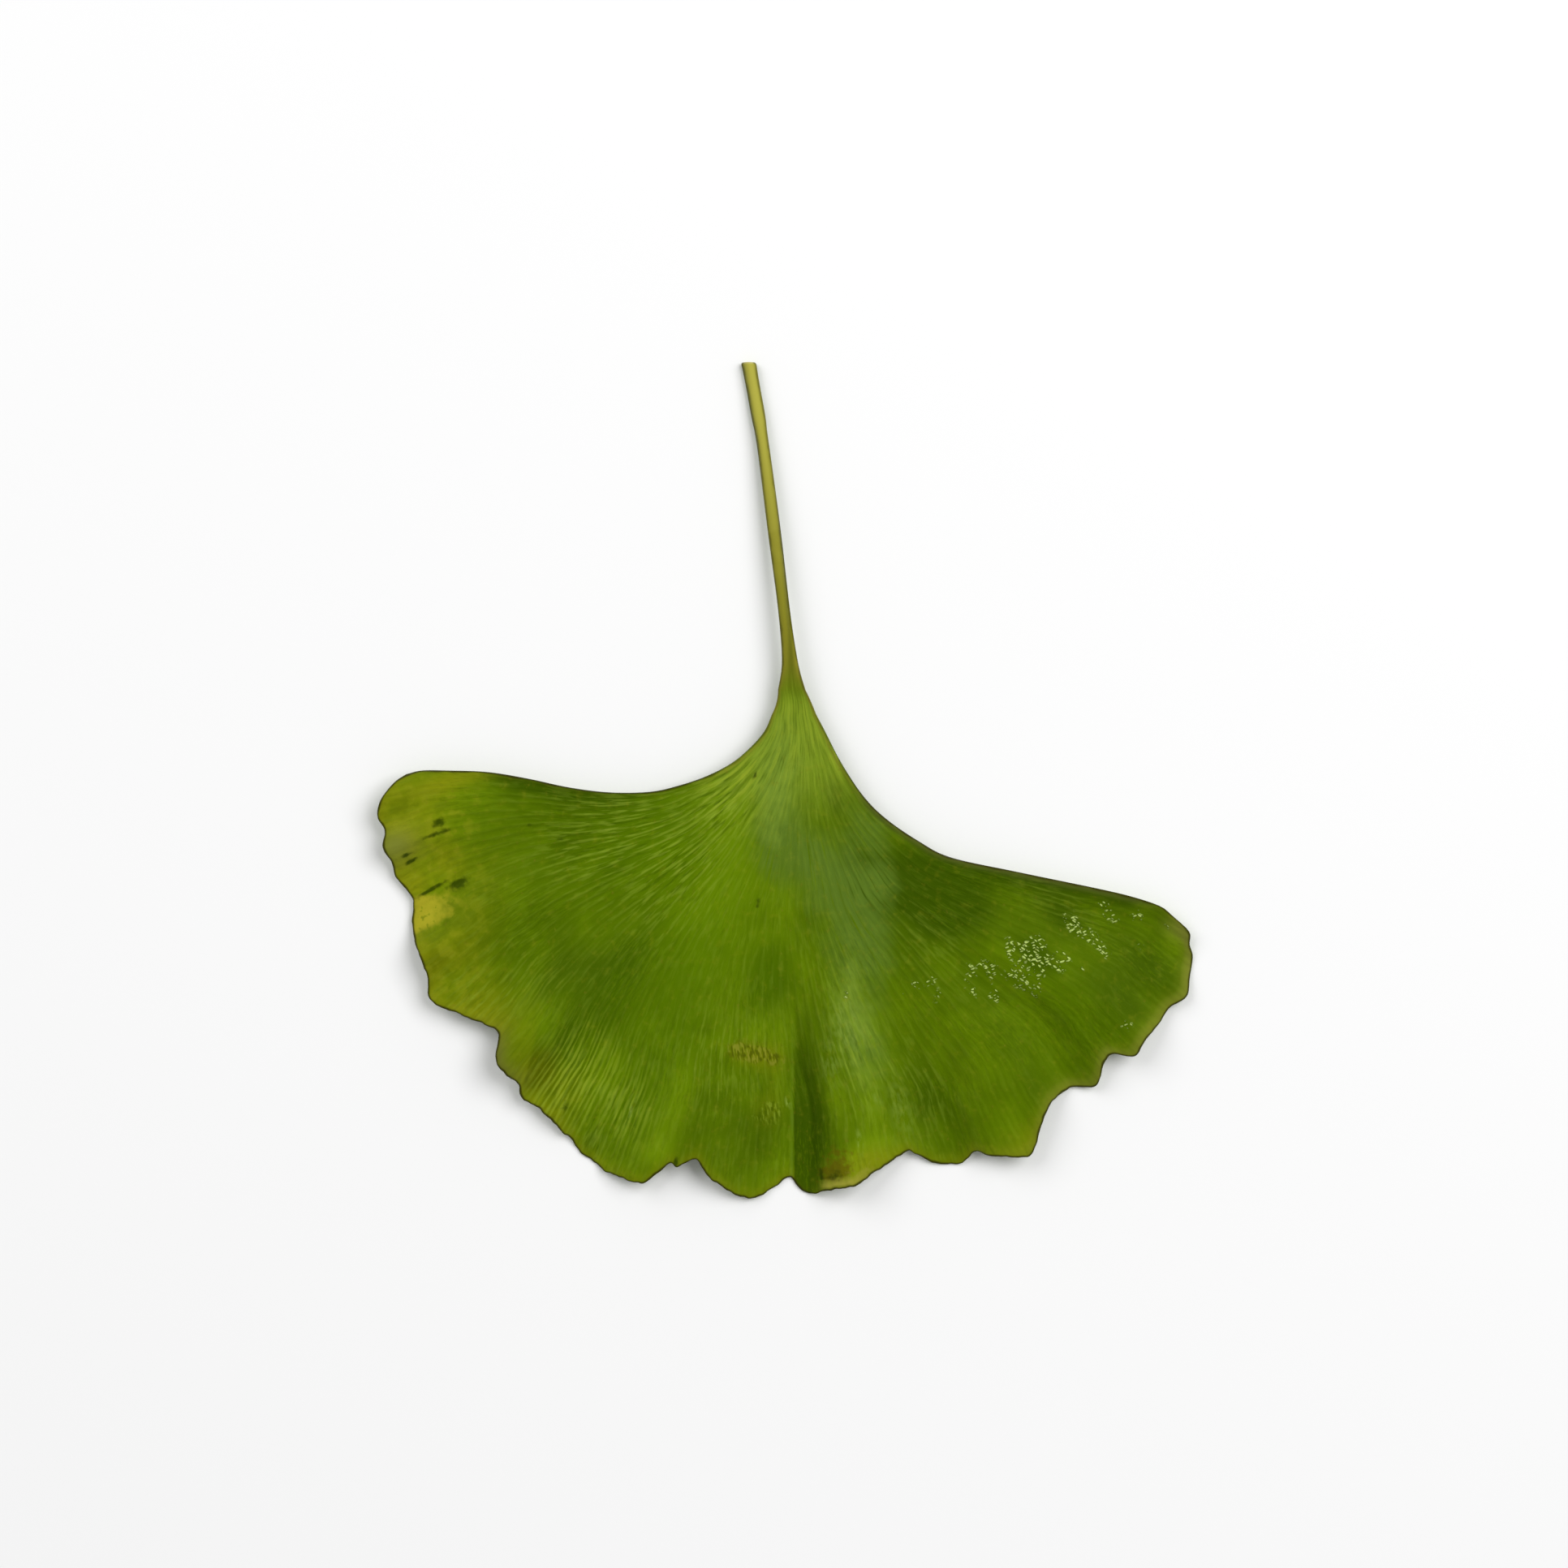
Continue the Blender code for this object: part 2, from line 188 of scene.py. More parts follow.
# Height of the leaf's middle surface above the table by reach, and its folds along the veins as (across
# at the fold reach, drift across in one drift step, half width, rise, reach where it starts, reach where
# it is full). A negative rise is a valley. The crease is the one fold with a sharp bottom.
SPINE_HEIGHTS = [(-PETIOLE_LENGTH, 0.52), (-29.0, 0.62), (-20.0, 1.2), (-9.0, 1.9), (0.0, 2.1),
                 (12.0, 2.4), (26.0, 2.5), (38.0, 2.1), (52.0, 1.7)]
FOLDS = [
    (0.030, 0.0, 0.060, 0.7, 18, 40),
    (0.122, 0.0, 0.050, -1.3, 24, 42),
    (0.185, 0.0, 0.060, 0.7, 22, 44),
    (0.310, -0.037, 0.070, 1.5, 20, 44),
    (0.395, 0.0, 0.060, -1.3, 26, 44),
    (0.470, 0.0, 0.070, 0.9, 22, 44),
    (0.625, -0.012, 0.055, 1.1, 24, 44),
    (0.712, -0.022, 0.055, -1.4, 30, 46),
    (0.775, -0.010, 0.050, 0.9, 28, 46),
    (0.830, 0.0, 0.035, -1.1, 30, 46),
    (0.880, 0.0, 0.045, 0.8, 26, 44),
    (0.965, 0.0, 0.060, -1.2, 22, 46),
]
CREASE = (0.576, -0.012, 0.052, -2.6, 24, 44)
CREASE_SHARPNESS = 1.4
FOLD_REACH = 40.0
DRIFT_STEP = 10.0
FLUTTER_RISE = 0.3
FLUTTER_WAVES = 17
FLUTTER_REACH = 9.0
FLUTTER_UNEVENNESS = 2.0
FLUTTER_CHANGES = 7.0


def middle_height(across, reach):
    """Height of the middle surface, with the folds and the flutter of the margin."""
    height = read_curve(SPINE_HEIGHTS, reach)
    for place, drift, half_width, rise, start, full in FOLDS:
        line = place + drift * (reach - FOLD_REACH) / DRIFT_STEP
        away = np.clip((across - line) / half_width, -1.0, 1.0)
        height = height + rise * (0.5 + 0.5 * np.cos(math.pi * away)) * ease(reach, start, full)
    place, drift, half_width, rise, start, full = CREASE
    line = place + drift * (reach - FOLD_REACH) / DRIFT_STEP
    away = np.clip(np.abs(across - line) / half_width, 0.0, 1.0)
    height = height + rise * (1.0 - away) ** CREASE_SHARPNESS * ease(reach, start, full)
    inside = np.interp(across, outer_across, outer_reach) - reach
    uneven = FLUTTER_UNEVENNESS * np.sin(FLUTTER_CHANGES * across)
    flutter = np.sin(2.0 * math.pi * FLUTTER_WAVES * across + uneven)
    return height + FLUTTER_RISE * flutter * ease(-inside, -FLUTTER_REACH, 0.0)


# The veins: 5 at the junction, forking in two at five rough distances from it, so that 160 end at the
# margin. A fork opens over a share of its own reach, and some more mm.
FIRST_VEINS = 5
FORK_REACHES = [1.5, 4.5, 10.0, 20.0, 32.0]
FORK_SPREAD = 0.25
FORK_LENGTH = 0.35
FORK_MORE = 2.0
VEIN_UNEVENNESS = 0.1
VEIN_HALF_WIDTH = 0.17
VEIN_RISE = 0.045

vein_places = []
for level in range(len(FORK_REACHES) + 1):
    count = FIRST_VEINS * 2**level
    even = (np.arange(count) + 0.5) / count
    vein_places.append(even + chance.uniform(-VEIN_UNEVENNESS, VEIN_UNEVENNESS, count) / count)
fork_places = []
for level, mean_reach in enumerate(FORK_REACHES):
    count = FIRST_VEINS * 2**level
    fork_places.append(mean_reach * (1.0 + chance.uniform(-FORK_SPREAD, FORK_SPREAD, count)))


def vein_ridges(across, reach):
    """1 on the line of a vein, fading to 0 beside it, along one row of points."""
    twigs = np.arange(FIRST_VEINS * 2 ** len(FORK_REACHES))
    own_reach = np.interp(vein_places[-1], across, reach)
    place = vein_places[0][twigs >> len(FORK_REACHES)]
    for level in range(len(FORK_REACHES)):
        parent = twigs >> (len(FORK_REACHES) - level)
        child = twigs >> (len(FORK_REACHES) - level - 1)
        start = fork_places[level][parent]
        opened = ease(own_reach, start, start * (1.0 + FORK_LENGTH) + FORK_MORE)
        place = place + (vein_places[level + 1][child] - vein_places[level][parent]) * opened
    place = np.sort(place)
    after = np.clip(np.searchsorted(place, across), 1, len(place) - 1)
    away = np.minimum(np.abs(across - place[after - 1]), np.abs(place[after] - across))
    return near(away * fan_width(reach), VEIN_HALF_WIDTH) * blade_share(reach)


# Thickness of the blade and its rounded rim, how far its underside lies below the heights above, the
# raised side rims, and the petiole's channel with the hollow at its cut end
BLADE_THICKNESS = 0.36
UNDERSIDE_DROP = 0.4
RIM_ROUNDING = 0.22
EDGE_THICKNESS = 0.08
SIDE_RIM_RISE = 0.14
SIDE_RIM_HALF_WIDTH = 0.45
SIDE_RIM_FADE = 16.0
SIDE_RIM_END = 34.0
CHANNEL_DEPTH = 0.22
CHANNEL_HALF_WIDTH = 0.16
CHANNEL_LINE = [(-22.0, 1.25), (-16.0, 0.98), (-11.0, 0.84), (-6.0, 0.72), (-3.0, 0.55),
                (0.0, 0.5), (9.0, 0.5)]
HOLLOW_LINE = [(-PETIOLE_LENGTH, 0.12), (-28.0, 0.1), (-22.0, 0.0), (-17.0, -0.3)]

# Rows of points from the petiole's cut end to the margin. The number of points in a row doubles at the
# start of each stretch, as the fan widens. The first and last rows lie close together, so that the cut
# end and the rim can be round. A stretch is given as (reach where it starts, number of its rows), and
# the last rows by how far inside the margin they lie.
PETIOLE_COLUMNS = 20
CUT_END_ROWS = [-PETIOLE_LENGTH, -32.38, -32.34, -32.28, -32.2, -32.0, -31.6]
PETIOLE_ROW_STEP = 0.75
petiole_rows = CUT_END_ROWS + list(np.arange(-31.0, -0.1, PETIOLE_ROW_STEP))
STRETCHES = [(0.0, 8), (3.0, 9), (7.0, 13), (14.0, 22), (26.0, 28)]
LAST_INSIDE = [0.45, 0.25, 0.12, 0.04, 0.0]

rows = []
columns = PETIOLE_COLUMNS
for reach in petiole_rows:
    across = np.linspace(0.0, 1.0, columns + 1)
    rows.append((across, np.full_like(across, reach)))
for number, (start, count) in enumerate(STRETCHES):
    columns *= 2
    across = np.linspace(0.0, 1.0, columns + 1)
    if number + 1 < len(STRETCHES):
        end = STRETCHES[number + 1][0]
    else:
        end = margin_reach(across) - LAST_INSIDE[0]
    for step in range(count):
        rows.append((across, start + (end - start) * (step / count) * np.ones_like(across)))
for inside in LAST_INSIDE:
    rows.append((across, margin_reach(across) - inside))

# The outline seen from above, and how far inside it every point lies
row_sizes = [len(row[0]) for row in rows]
row_starts = np.concatenate([[0], np.cumsum(row_sizes)])
all_across = np.concatenate([row[0] for row in rows])
all_reach = np.concatenate([row[1] for row in rows])
all_x, all_y = plan_point(all_across, all_reach)
rim_line = np.vstack([
    np.column_stack([all_x[row_starts[:-1]], all_y[row_starts[:-1]]]),
    np.column_stack([all_x[row_starts[-2]:], all_y[row_starts[-2]:]]),
    np.column_stack([all_x[row_starts[1:] - 1], all_y[row_starts[1:] - 1]])[::-1],
])
rim_points = smooth_curve(rim_line, per_span=6)
rim_finder = KDTree(len(rim_points))
for number, (x, y) in enumerate(rim_points):
    rim_finder.insert((x, y, 0.0), number)
rim_finder.balance()
inside_rim = np.array([rim_finder.find((x, y, 0.0))[2] for x, y in zip(all_x, all_y)])

all_vein = np.concatenate([vein_ridges(across, reach) for across, reach in rows])
flat = blade_share(all_reach)
rounding = np.sqrt(np.clip(1.0 - (1.0 - np.minimum(inside_rim / RIM_ROUNDING, 1.0)) ** 2, 0.0, 1.0))
blade_half = 0.5 * (EDGE_THICKNESS + (BLADE_THICKNESS - EDGE_THICKNESS) * rounding)
stalk_full = 0.5 * np.minimum(root_width(np.minimum(all_reach, 0.0)), PETIOLE_THICKNESS)
edge_half = 0.5 * EDGE_THICKNESS
stalk_half = edge_half + (stalk_full - edge_half) * np.sin(math.pi * all_across)
half = stalk_half + (blade_half - stalk_half) * flat
centre = middle_height(all_across, all_reach) - (UNDERSIDE_DROP - 0.5 * BLADE_THICKNESS) * flat

side_distance = np.minimum(all_across, 1.0 - all_across) * fan_width(all_reach)
side_rim = near(side_distance, SIDE_RIM_HALF_WIDTH) * flat
side_rim = side_rim * (1.0 - ease(all_reach, SIDE_RIM_FADE, SIDE_RIM_END)) * rounding
channel_place = read_curve(CHANNEL_LINE, all_reach)
channel = near(all_across - channel_place, CHANNEL_HALF_WIDTH) * (1.0 - flat)
hollow_place = read_curve(HOLLOW_LINE, all_reach)
hollow = near(all_across - hollow_place, CHANNEL_HALF_WIDTH) * (1.0 - flat)
channel = np.maximum(channel, hollow)

vein_rise = VEIN_RISE * all_vein * rounding
under = np.maximum(centre - half, 0.0)
top = under + 2.0 * half
top = top + (vein_rise + SIDE_RIM_RISE * side_rim - CHANNEL_DEPTH * channel)
under = np.maximum(under - vein_rise, 0.0)

# The middle of the outline that these places give is put over the origin
MIDDLE = np.array([0.04, -0.57, 0.0])
top_points = np.column_stack([all_x, all_y, top])
under_points = np.column_stack([all_x, all_y, under])
points = np.vstack([top_points, under_points]) - MIDDLE
below = len(all_x)


def strip_triangles(upper, lower):
    """Triangles between two rows of points seen from above, where the lower may have twice as many."""
    a, b = upper[:-1], upper[1:]
    if len(lower) == len(upper):
        c, d = lower[1:], lower[:-1]
        return np.vstack([np.column_stack([a, d, c]), np.column_stack([a, c, b])])
    c, middle, d = lower[2::2], lower[1::2], lower[:-1:2]
    return np.vstack([np.column_stack([a, d, middle]), np.column_stack([a, middle, b]),
                      np.column_stack([b, middle, c])])


row_points = [np.arange(row_starts[i], row_starts[i + 1]) for i in range(len(rows))]
triangles = []
for upper, lower in zip(row_points, row_points[1:]):
    strip = strip_triangles(upper, lower)
    triangles.append(strip)
    triangles.append(strip[:, ::-1] + below)
left_line = row_starts[:-1]
right_line = row_starts[1:] - 1
triangles.append(strip_triangles(left_line, left_line + below))
triangles.append(strip_triangles(right_line + below, right_line))
triangles.append(strip_triangles(row_points[-1], row_points[-1] + below))
triangles.append(strip_triangles(row_points[0] + below, row_points[0]))
triangles = np.vstack(triangles)

SHARP_EDGE = 55.0
leaf_mesh = bpy.data.meshes.new("leaf")
leaf_mesh.from_pydata((points * MM).tolist(), [], triangles.tolist())
leaf_mesh.shade_smooth()
leaf_mesh.set_sharp_from_angle(angle=math.radians(SHARP_EDGE))


def mark(name, values, under_values=None):
    """Keeps one number for every point of the leaf, for the skin to read."""
    under_values = values if under_values is None else under_values
    both = np.concatenate([values, under_values]).astype(np.float32)
    leaf_mesh.attributes.new(name, "FLOAT", "POINT").data.foreach_set("value", both)


def patch(middle_x, middle_y, half_width, half_length):
    """1 in the middle of a soft spot whose length lies along the veins, fading to 0 around it."""
    ray = np.array([middle_x, middle_y]) - JUNCTION
    ray = ray / np.hypot(ray[0], ray[1])
    along = (all_x - middle_x) * ray[0] + (all_y - middle_y) * ray[1]
    beside = (all_x - middle_x) * ray[1] - (all_y - middle_y) * ray[0]
    return np.exp(-((along / half_length) ** 2) - (beside / half_width) ** 2)


def patches(spots):
    """Soft spots laid over each other, each as x, y, half width and half length in mm, and strength."""
    total = np.zeros_like(all_x)
    for x, y, half_width, half_length, strength in spots:
        total = total + strength * patch(x, y, half_width, half_length)
    return total


# Painted shade in the blade's hollows and painted light on its crests, as soft spots. A negative strength
# takes away.
PAINTED_SHADE_SPOTS = [
    (-17.4, -20.8, 3.0, 6.8, 0.9),
    (-22.2, -26.4, 1.2, 3.4, 0.45),
    (-1.6, -20.2, 2.8, 4.2, 1.0),
    (13.2, -10.4, 2.8, 4.6, 1.1),
    (17.8, -12.4, 3.0, 5.0, 1.0),
    (10.8, -16.0, 1.8, 5.0, 0.4),
    (14.8, -14.4, 2.0, 4.0, 0.35),
    (25.0, -13.6, 2.6, 6.0, 0.5),
    (35.6, -18.4, 3.6, 6.0, 0.6),
    (31.0, -23.4, 2.6, 6.0, 0.55),
    (37.0, -20.4, 2.4, 5.0, 0.3),
    (22.6, -27.8, 2.4, 6.0, 0.55),
    (11.6, -28.4, 1.6, 6.0, 0.3),
    (-15.0, -8.8, 2.2, 8.0, 0.1),
    (-5.6, -36.0, 2.4, 5.0, 0.3),
    (-1.6, -33.6, 1.6, 5.0, 0.3),
    (-18.9, -35.4, 1.4, 1.6, 0.6),
    (0.7, 9.8, 0.7, 1.8, 0.3),
    (4.7, -1.8, 1.3, 2.6, 1.0),
    (3.6, -4.6, 1.2, 2.0, 0.4),
    (13.4, -15.6, 2.0, 3.0, 0.3),
    (8.6, -9.4, 2.0, 4.0, 0.2),
    (-21.0, -18.6, 3.0, 5.0, 0.3),
    (29.4, -14.0, 1.6, 4.0, 0.35),
    (24.6, -17.8, 1.6, 2.6, 0.9),
    (29.8, -26.8, 1.2, 3.0, 0.5),
    (33.6, -22.6, 1.6, 4.0, 0.45),
    (7.4, -10.6, 2.2, 4.4, 1.2),
    (10.8, -11.0, 1.2, 3.0, 0.5),
    (-37.0, -4.2, 2.0, 1.2, 1.3),
    (-37.4, -0.9, 1.6, 1.4, 0.4),
    (-35.4, -18.8, 1.6, 2.6, 1.1),
    (-19.6, -37.4, 1.4, 1.4, 0.5),
    (13.2, -33.6, 1.4, 2.6, 0.35),
    (31.4, -27.4, 1.0, 1.4, 0.2),
    (-27.8, -24.2, 2.0, 2.0, 0.35),
    (-30.0, -23.0, 2.4, 1.6, 0.3),
    (-2.6, -36.8, 1.6, 3.0, 0.4),
    (-15.6, -34.4, 1.2, 2.4, 0.3),
    (-22.8, -19.6, 2.0, 4.0, 0.4),
    (-14.2, -17.2, 1.6, 4.0, 0.3),
    (-17.6, -9.8, 1.2, 4.0, 0.35),
    (27.4, -14.2, 1.4, 2.4, 0.4),
    (25.0, -32.0, 1.2, 2.0, 0.3),
    (17.2, -33.4, 1.6, 3.4, 0.35),
    (13.0, -22.6, 0.8, 2.4, 0.3),
    (-22.6, -7.2, 2.4, 6.0, 0.35),
    (-13.2, -7.6, 1.4, 3.0, 0.3),
    (14.4, -31.0, 1.8, 6.0, 0.6),
    (-18.4, -6.4, 3.0, 7.0, 0.4),
    (-23.4, -3.6, 2.0, 5.0, 0.4),
    (-27.4, -2.4, 1.2, 3.0, 0.3),
    (-9.0, -22.0, 2.0, 5.0, -0.2),
]
PAINTED_LIGHT_SPOTS = [
    (-5.4, -2.6, 2.6, 4.4, 0.9),
    (-4.8, -10.8, 3.4, 5.4, 0.6),
    (-0.6, -24.6, 2.4, 3.0, 0.45),
    (-10.4, -31.6, 1.6, 5.0, 0.6),
    (-16.6, -30.0, 2.0, 3.0, 0.35),
    (-37.6, -7.8, 1.8, 2.4, 0.5),
    (-5.4, 0.6, 1.8, 2.6, 0.9),
    (5.0, 2.0, 1.0, 2.4, 0.9),
    (-33.6, -6.6, 5.6, 6.0, 0.5),
    (-35.6, -2.6, 3.0, 5.0, 0.4),
    (-32.6, -20.4, 2.6, 4.0, 0.3),
    (-38.4, -7.2, 1.6, 2.0, 1.1),
    (-33.8, -10.4, 2.4, 2.4, 0.35),
    (24.4, -23.4, 1.2, 4.0, 0.4),
    (-0.6, -30.0, 1.0, 4.6, 0.5),
    (-8.4, -13.4, 2.4, 4.6, 0.5),
    (0.2, -12.4, 1.6, 3.0, 0.45),
    (-25.0, -32.0, 1.3, 1.7, 1.5),
    (-18.4, -29.2, 1.8, 3.0, 0.4),
    (-36.6, -11.6, 1.6, 1.6, 1.1),
    (5.2, -31.8, 1.0, 3.4, 0.5),
    (-20.2, -30.4, 2.4, 5.0, 0.5),
    (-12.8, -33.4, 2.4, 6.0, 0.3),
    (7.8, -25.0, 2.0, 4.6, 0.7),
    (-3.2, -25.4, 1.2, 1.6, 0.5),
    (4.4, -31.4, 1.0, 3.0, 0.4),
    (9.0, -37.2, 2.4, 1.4, 0.9),
    (-12.8, -37.0, 1.6, 1.8, 0.6),
    (-5.0, -5.6, 1.6, 4.0, 0.5),
    (38.8, -15.9, 1.2, 1.6, 1.0),
    (8.6, -33.6, 2.0, 4.2, 0.65),
    (8.0, -38.8, 4.0, 1.8, 0.8),
    (22.6, -34.6, 1.6, 3.0, 0.4),
    (0.6, 7.2, 1.0, 0.8, 0.3),
    (0.0, 3.8, 1.8, 3.0, 0.4),
]

# Painted shade on the crease's right side, from its line on and deepest low down, and a painted highlight
# as a light line on its left side
CREASE_X = 0.8
crease_side = all_x - CREASE_X
crease_depth = ease(-all_y, 23.0, 28.0)
crease_width = 2.0 + 1.5 * ease(-all_y, 27.0, 34.0) - 0.3 * ease(-all_y, 35.0, 39.0)
crease_shade = ease(crease_side, -0.06, 0.12) * (1.0 - ease(crease_side / crease_width, 0.7, 1.3))
crease_shade = crease_shade * crease_depth * (1.0 - 0.45 * ease(crease_side, 1.4, 3.0))
crease_low = 0.25 + 0.55 * ease(-all_y, 26.0, 30.0) + 0.9 * ease(-all_y, 31.0, 36.0)
crease_shade = crease_shade * crease_low
crease_highlight = 0.7 * band(crease_side, -0.5, -0.15, -0.1, 0.05) * crease_depth

# Darker along stretches of both side edges
left_edge_dark = near(side_distance, 1.7) * (all_across < 0.5) * band(all_reach, 16.0, 22.0, 29.0, 36.0)
right_edge_dark = near(side_distance, 1.8) * (all_across > 0.5) * ease(all_reach, 20.0, 28.0)
right_edge_dark = right_edge_dark * (1.0 - ease(all_x, 33.0, 37.0))

# A short kink by the left margin, on a line from here down: painted shade on its right side, painted
# light on its left.
# A spot of painted shade of the same kind lies higher up that margin.
KINK_START = (-24.4, -25.2)
KINK_RAY = (-0.267, -0.964)
kink_x = all_x - KINK_START[0]
kink_y = all_y - KINK_START[1]
kink_side = kink_y * KINK_RAY[0] - kink_x * KINK_RAY[1]
kink_along = kink_x * KINK_RAY[0] + kink_y * KINK_RAY[1]
kink_shade = band(kink_side, -0.08, 0.14, 1.4, 3.8) * band(kink_along, 0.0, 3.4, 5.2, 6.8)
facet = band(-kink_side, -0.1, 0.1, 2.0, 4.6) * band(kink_along, -2.0, 1.5, 4.0, 6.6)
mark("kink", kink_shade + 0.7 * patch(-35.3, -18.9, 0.9, 2.4))
mark("facet", facet)
# Painted shade from the spots above, the crease's right side and the kink, with the darker side edges;
# painted light from the spots above and the crease's light line
edge_dark = 1.1 * left_edge_dark + 0.8 * right_edge_dark
mark("dark", patches(PAINTED_SHADE_SPOTS) + 0.8 * crease_shade + edge_dark + 0.3 * kink_shade)
mark("crease", crease_shade)
mark("light", patches(PAINTED_LIGHT_SPOTS) + 0.5 * crease_highlight)

# Painted sheen, a paler and greyer reflection, which runs down from the junction and ends on a line on
# its right
PAINTED_SHEEN = [
    (-0.6, 0.0, 1.6, 4.0, 0.7),
    (-1.0, -6.0, 2.6, 4.0, 0.8),
    (3.4, -9.4, 3.2, 4.6, 0.8),
    (8.2, -5.0, 1.6, 3.0, 0.5),
    (8.8, -10.6, 2.8, 5.0, 0.65),
    (7.4, -16.6, 3.0, 5.0, 0.85),
    (7.2, -26.0, 2.2, 4.4, 0.9),
]
sheen_end = 11.2 + 0.6 * ease(-all_y, 14.0, 22.0)
sheen_blur = 1.5 + 1.8 * ease(-all_y, 13.0, 20.0)
sheen_left = 1.0 - ease((all_x - sheen_end) / sheen_blur, -0.5, 0.7)
mark("painted_sheen", patches(PAINTED_SHEEN) * sheen_left + 0.6 * crease_highlight)

# Where that painted sheen is palest
PALE_PAINTED_SHEEN = [
    (-0.6, 1.4, 2.4, 4.4, 1.0),
    (-1.4, -4.8, 2.2, 3.0, 0.5),
    (5.8, -19.0, 2.0, 3.6, 0.35),
    (7.2, -24.0, 1.9, 3.6, 0.6),
    (8.0, -31.0, 1.6, 4.0, 0.3),
]
mark("pale_painted_sheen", patches(PALE_PAINTED_SHEEN))

# Where the pale broken streaks show most. They are fewer on the right lobe and on the left corner.
STREAKED = [
    (-17.0, -4.8, 3.8, 8.0, 0.6),
    (-10.0, -8.0, 3.6, 7.0, 0.65),
    (-21.0, -30.0, 2.6, 5.0, 0.3),
    (-17.0, -33.0, 3.0, 5.0, 0.5),
    (-6.0, -27.0, 4.0, 4.0, 0.35),
    (0.6, 3.0, 4.0, 5.0, 0.6),
    (-6.0, -2.6, 2.6, 3.0, 0.7),
    (5.8, -24.6, 2.6, 7.0, 0.25),
    (-29.0, -21.0, 3.0, 5.0, 0.2),
    (14.6, -17.0, 3.0, 6.0, 0.25),
    (13.6, -31.0, 3.0, 6.0, 0.2),
    (8.0, -30.0, 3.0, 5.0, 0.15),
    (26.0, -11.6, 1.4, 7.0, 0.4),
]
smooth_lobe = ease(all_across, 0.62, 0.8) * ease(all_reach, 14.0, 22.0)
plain_corner = ease(-all_x, 28.0, 34.0) * (1.0 - ease(-all_y, 16.0, 20.0))
mark("streaked", (0.1 * (1.0 - smooth_lobe) + patches(STREAKED)) * (1.0 - 0.8 * plain_corner))

# Broader and softer pale stripes, along the veins too
STRIPED = [
    (-21.2, -29.8, 3.2, 5.0, 1.1),
    (-15.4, -33.4, 2.6, 4.0, 0.6),
    (0.8, 4.4, 3.0, 4.4, 0.7),
    (-4.8, -0.4, 3.0, 3.4, 1.2),
    (5.0, 1.6, 1.2, 2.6, 0.8),
    (-24.4, -20.4, 1.6, 3.0, 0.3),
]
mark("striped", patches(STRIPED))

# Painted highlights: small glints, and a paler wrinkled sheen low on the middle lobe
GLINTS = [
    (7.3, -36.1, 0.2, 0.8, 0.8),
    (8.7, -31.8, 0.35, 0.16, 1.1),
    (0.2, -32.3, 0.22, 0.4, 0.8),
    (5.8, -24.6, 1.4, 3.4, 0.25),
    (4.4, -28.4, 0.9, 2.0, 0.25),
    (11.4, -33.0, 1.0, 3.0, 0.2),
    (-15.2, -33.0, 0.2, 0.8, 0.6),
]
mark("glint", patches(GLINTS))

# Where the green is freshest
FRESH = [
    (-8.4, -16.0, 4.6, 14.0, 0.55),
    (-13.6, -31.0, 3.0, 6.0, 0.35),
    (2.2, 2.0, 1.6, 3.6, 0.6),
    (-13.4, -6.0, 5.0, 8.0, 0.5),
    (-1.6, -20.0, 2.4, 4.0, 0.5),
    (-17.0, -23.0, 3.0, 5.0, 0.4),
    (28.0, -23.4, 3.0, 5.0, 0.25),
]
mark("fresh", patches(FRESH))

# Yellowing of the left corner, of the left margin and of the middle lobe's foot, and weaker along the
# whole margin. One bright patch at the left margin lies between two straight lines.
YELLOWED = [
    (-38.6, -7.6, 1.6, 2.2, 0.9),
    (-33.0, -0.6, 1.0, 4.0, 0.4),
    (-24.6, -23.2, 1.6, 2.4, 0.15),
    (-1.0, -30.0, 1.4, 5.0, 0.15),
    (8.6, -37.4, 2.6, 1.4, 0.2),
    (-36.6, -10.6, 1.6, 1.6, 0.45),
    (-36.6, -5.0, 3.0, 4.0, 0.3),
    (-35.6, -2.4, 3.0, 6.0, 0.25),
    (-30.4, -10.4, 5.0, 5.0, 0.25),
    (-33.0, -17.6, 4.0, 5.0, 0.38),
    (-33.6, -8.4, 2.4, 2.0, 0.35),
    (-29.4, -23.4, 3.4, 4.4, 0.35),
    (-24.6, -29.4, 2.0, 2.4, 0.4),
    (-21.4, -31.4, 2.4, 4.0, 0.3),
    (-3.0, -27.6, 3.0, 1.6, 0.45),
    (-2.0, -33.2, 2.0, 2.0, 0.25),
    (6.6, -38.8, 3.0, 2.0, 0.3),
    (23.4, -36.0, 2.0, 2.4, 0.2),
]
below_streak = -12.0 + 0.118 * (all_x + 36.5) - all_y
above_slant = -0.455 * (all_x + 36.2) + 0.89 * (all_y + 15.5)
yellow_patch = ease(below_streak, -0.3, 0.5) * ease(above_slant, -0.5, 0.5)
yellow_patch = yellow_patch * (1.0 - 0.5 * ease(all_x, -35.6, -33.4))
yellow_patch = yellow_patch * (1.0 - ease(all_x, -33.4, -31.8))
margin_inside = margin_reach(all_across) - all_reach
margin_yellow = 0.32 * np.exp(-np.maximum(margin_inside, 0.0) / 1.6)
margin_yellow = margin_yellow + 0.2 * np.exp(-inside_rim / 0.7)
mark("yellowed", patches(YELLOWED) + margin_yellow * (1.0 - ease(-all_reach, -8.0, 0.0)))
mark("bright_yellow", yellow_patch)
mark("mottled", ease(-all_x, 27.0, 33.0) * ease(-all_y, -1.0, 3.0))

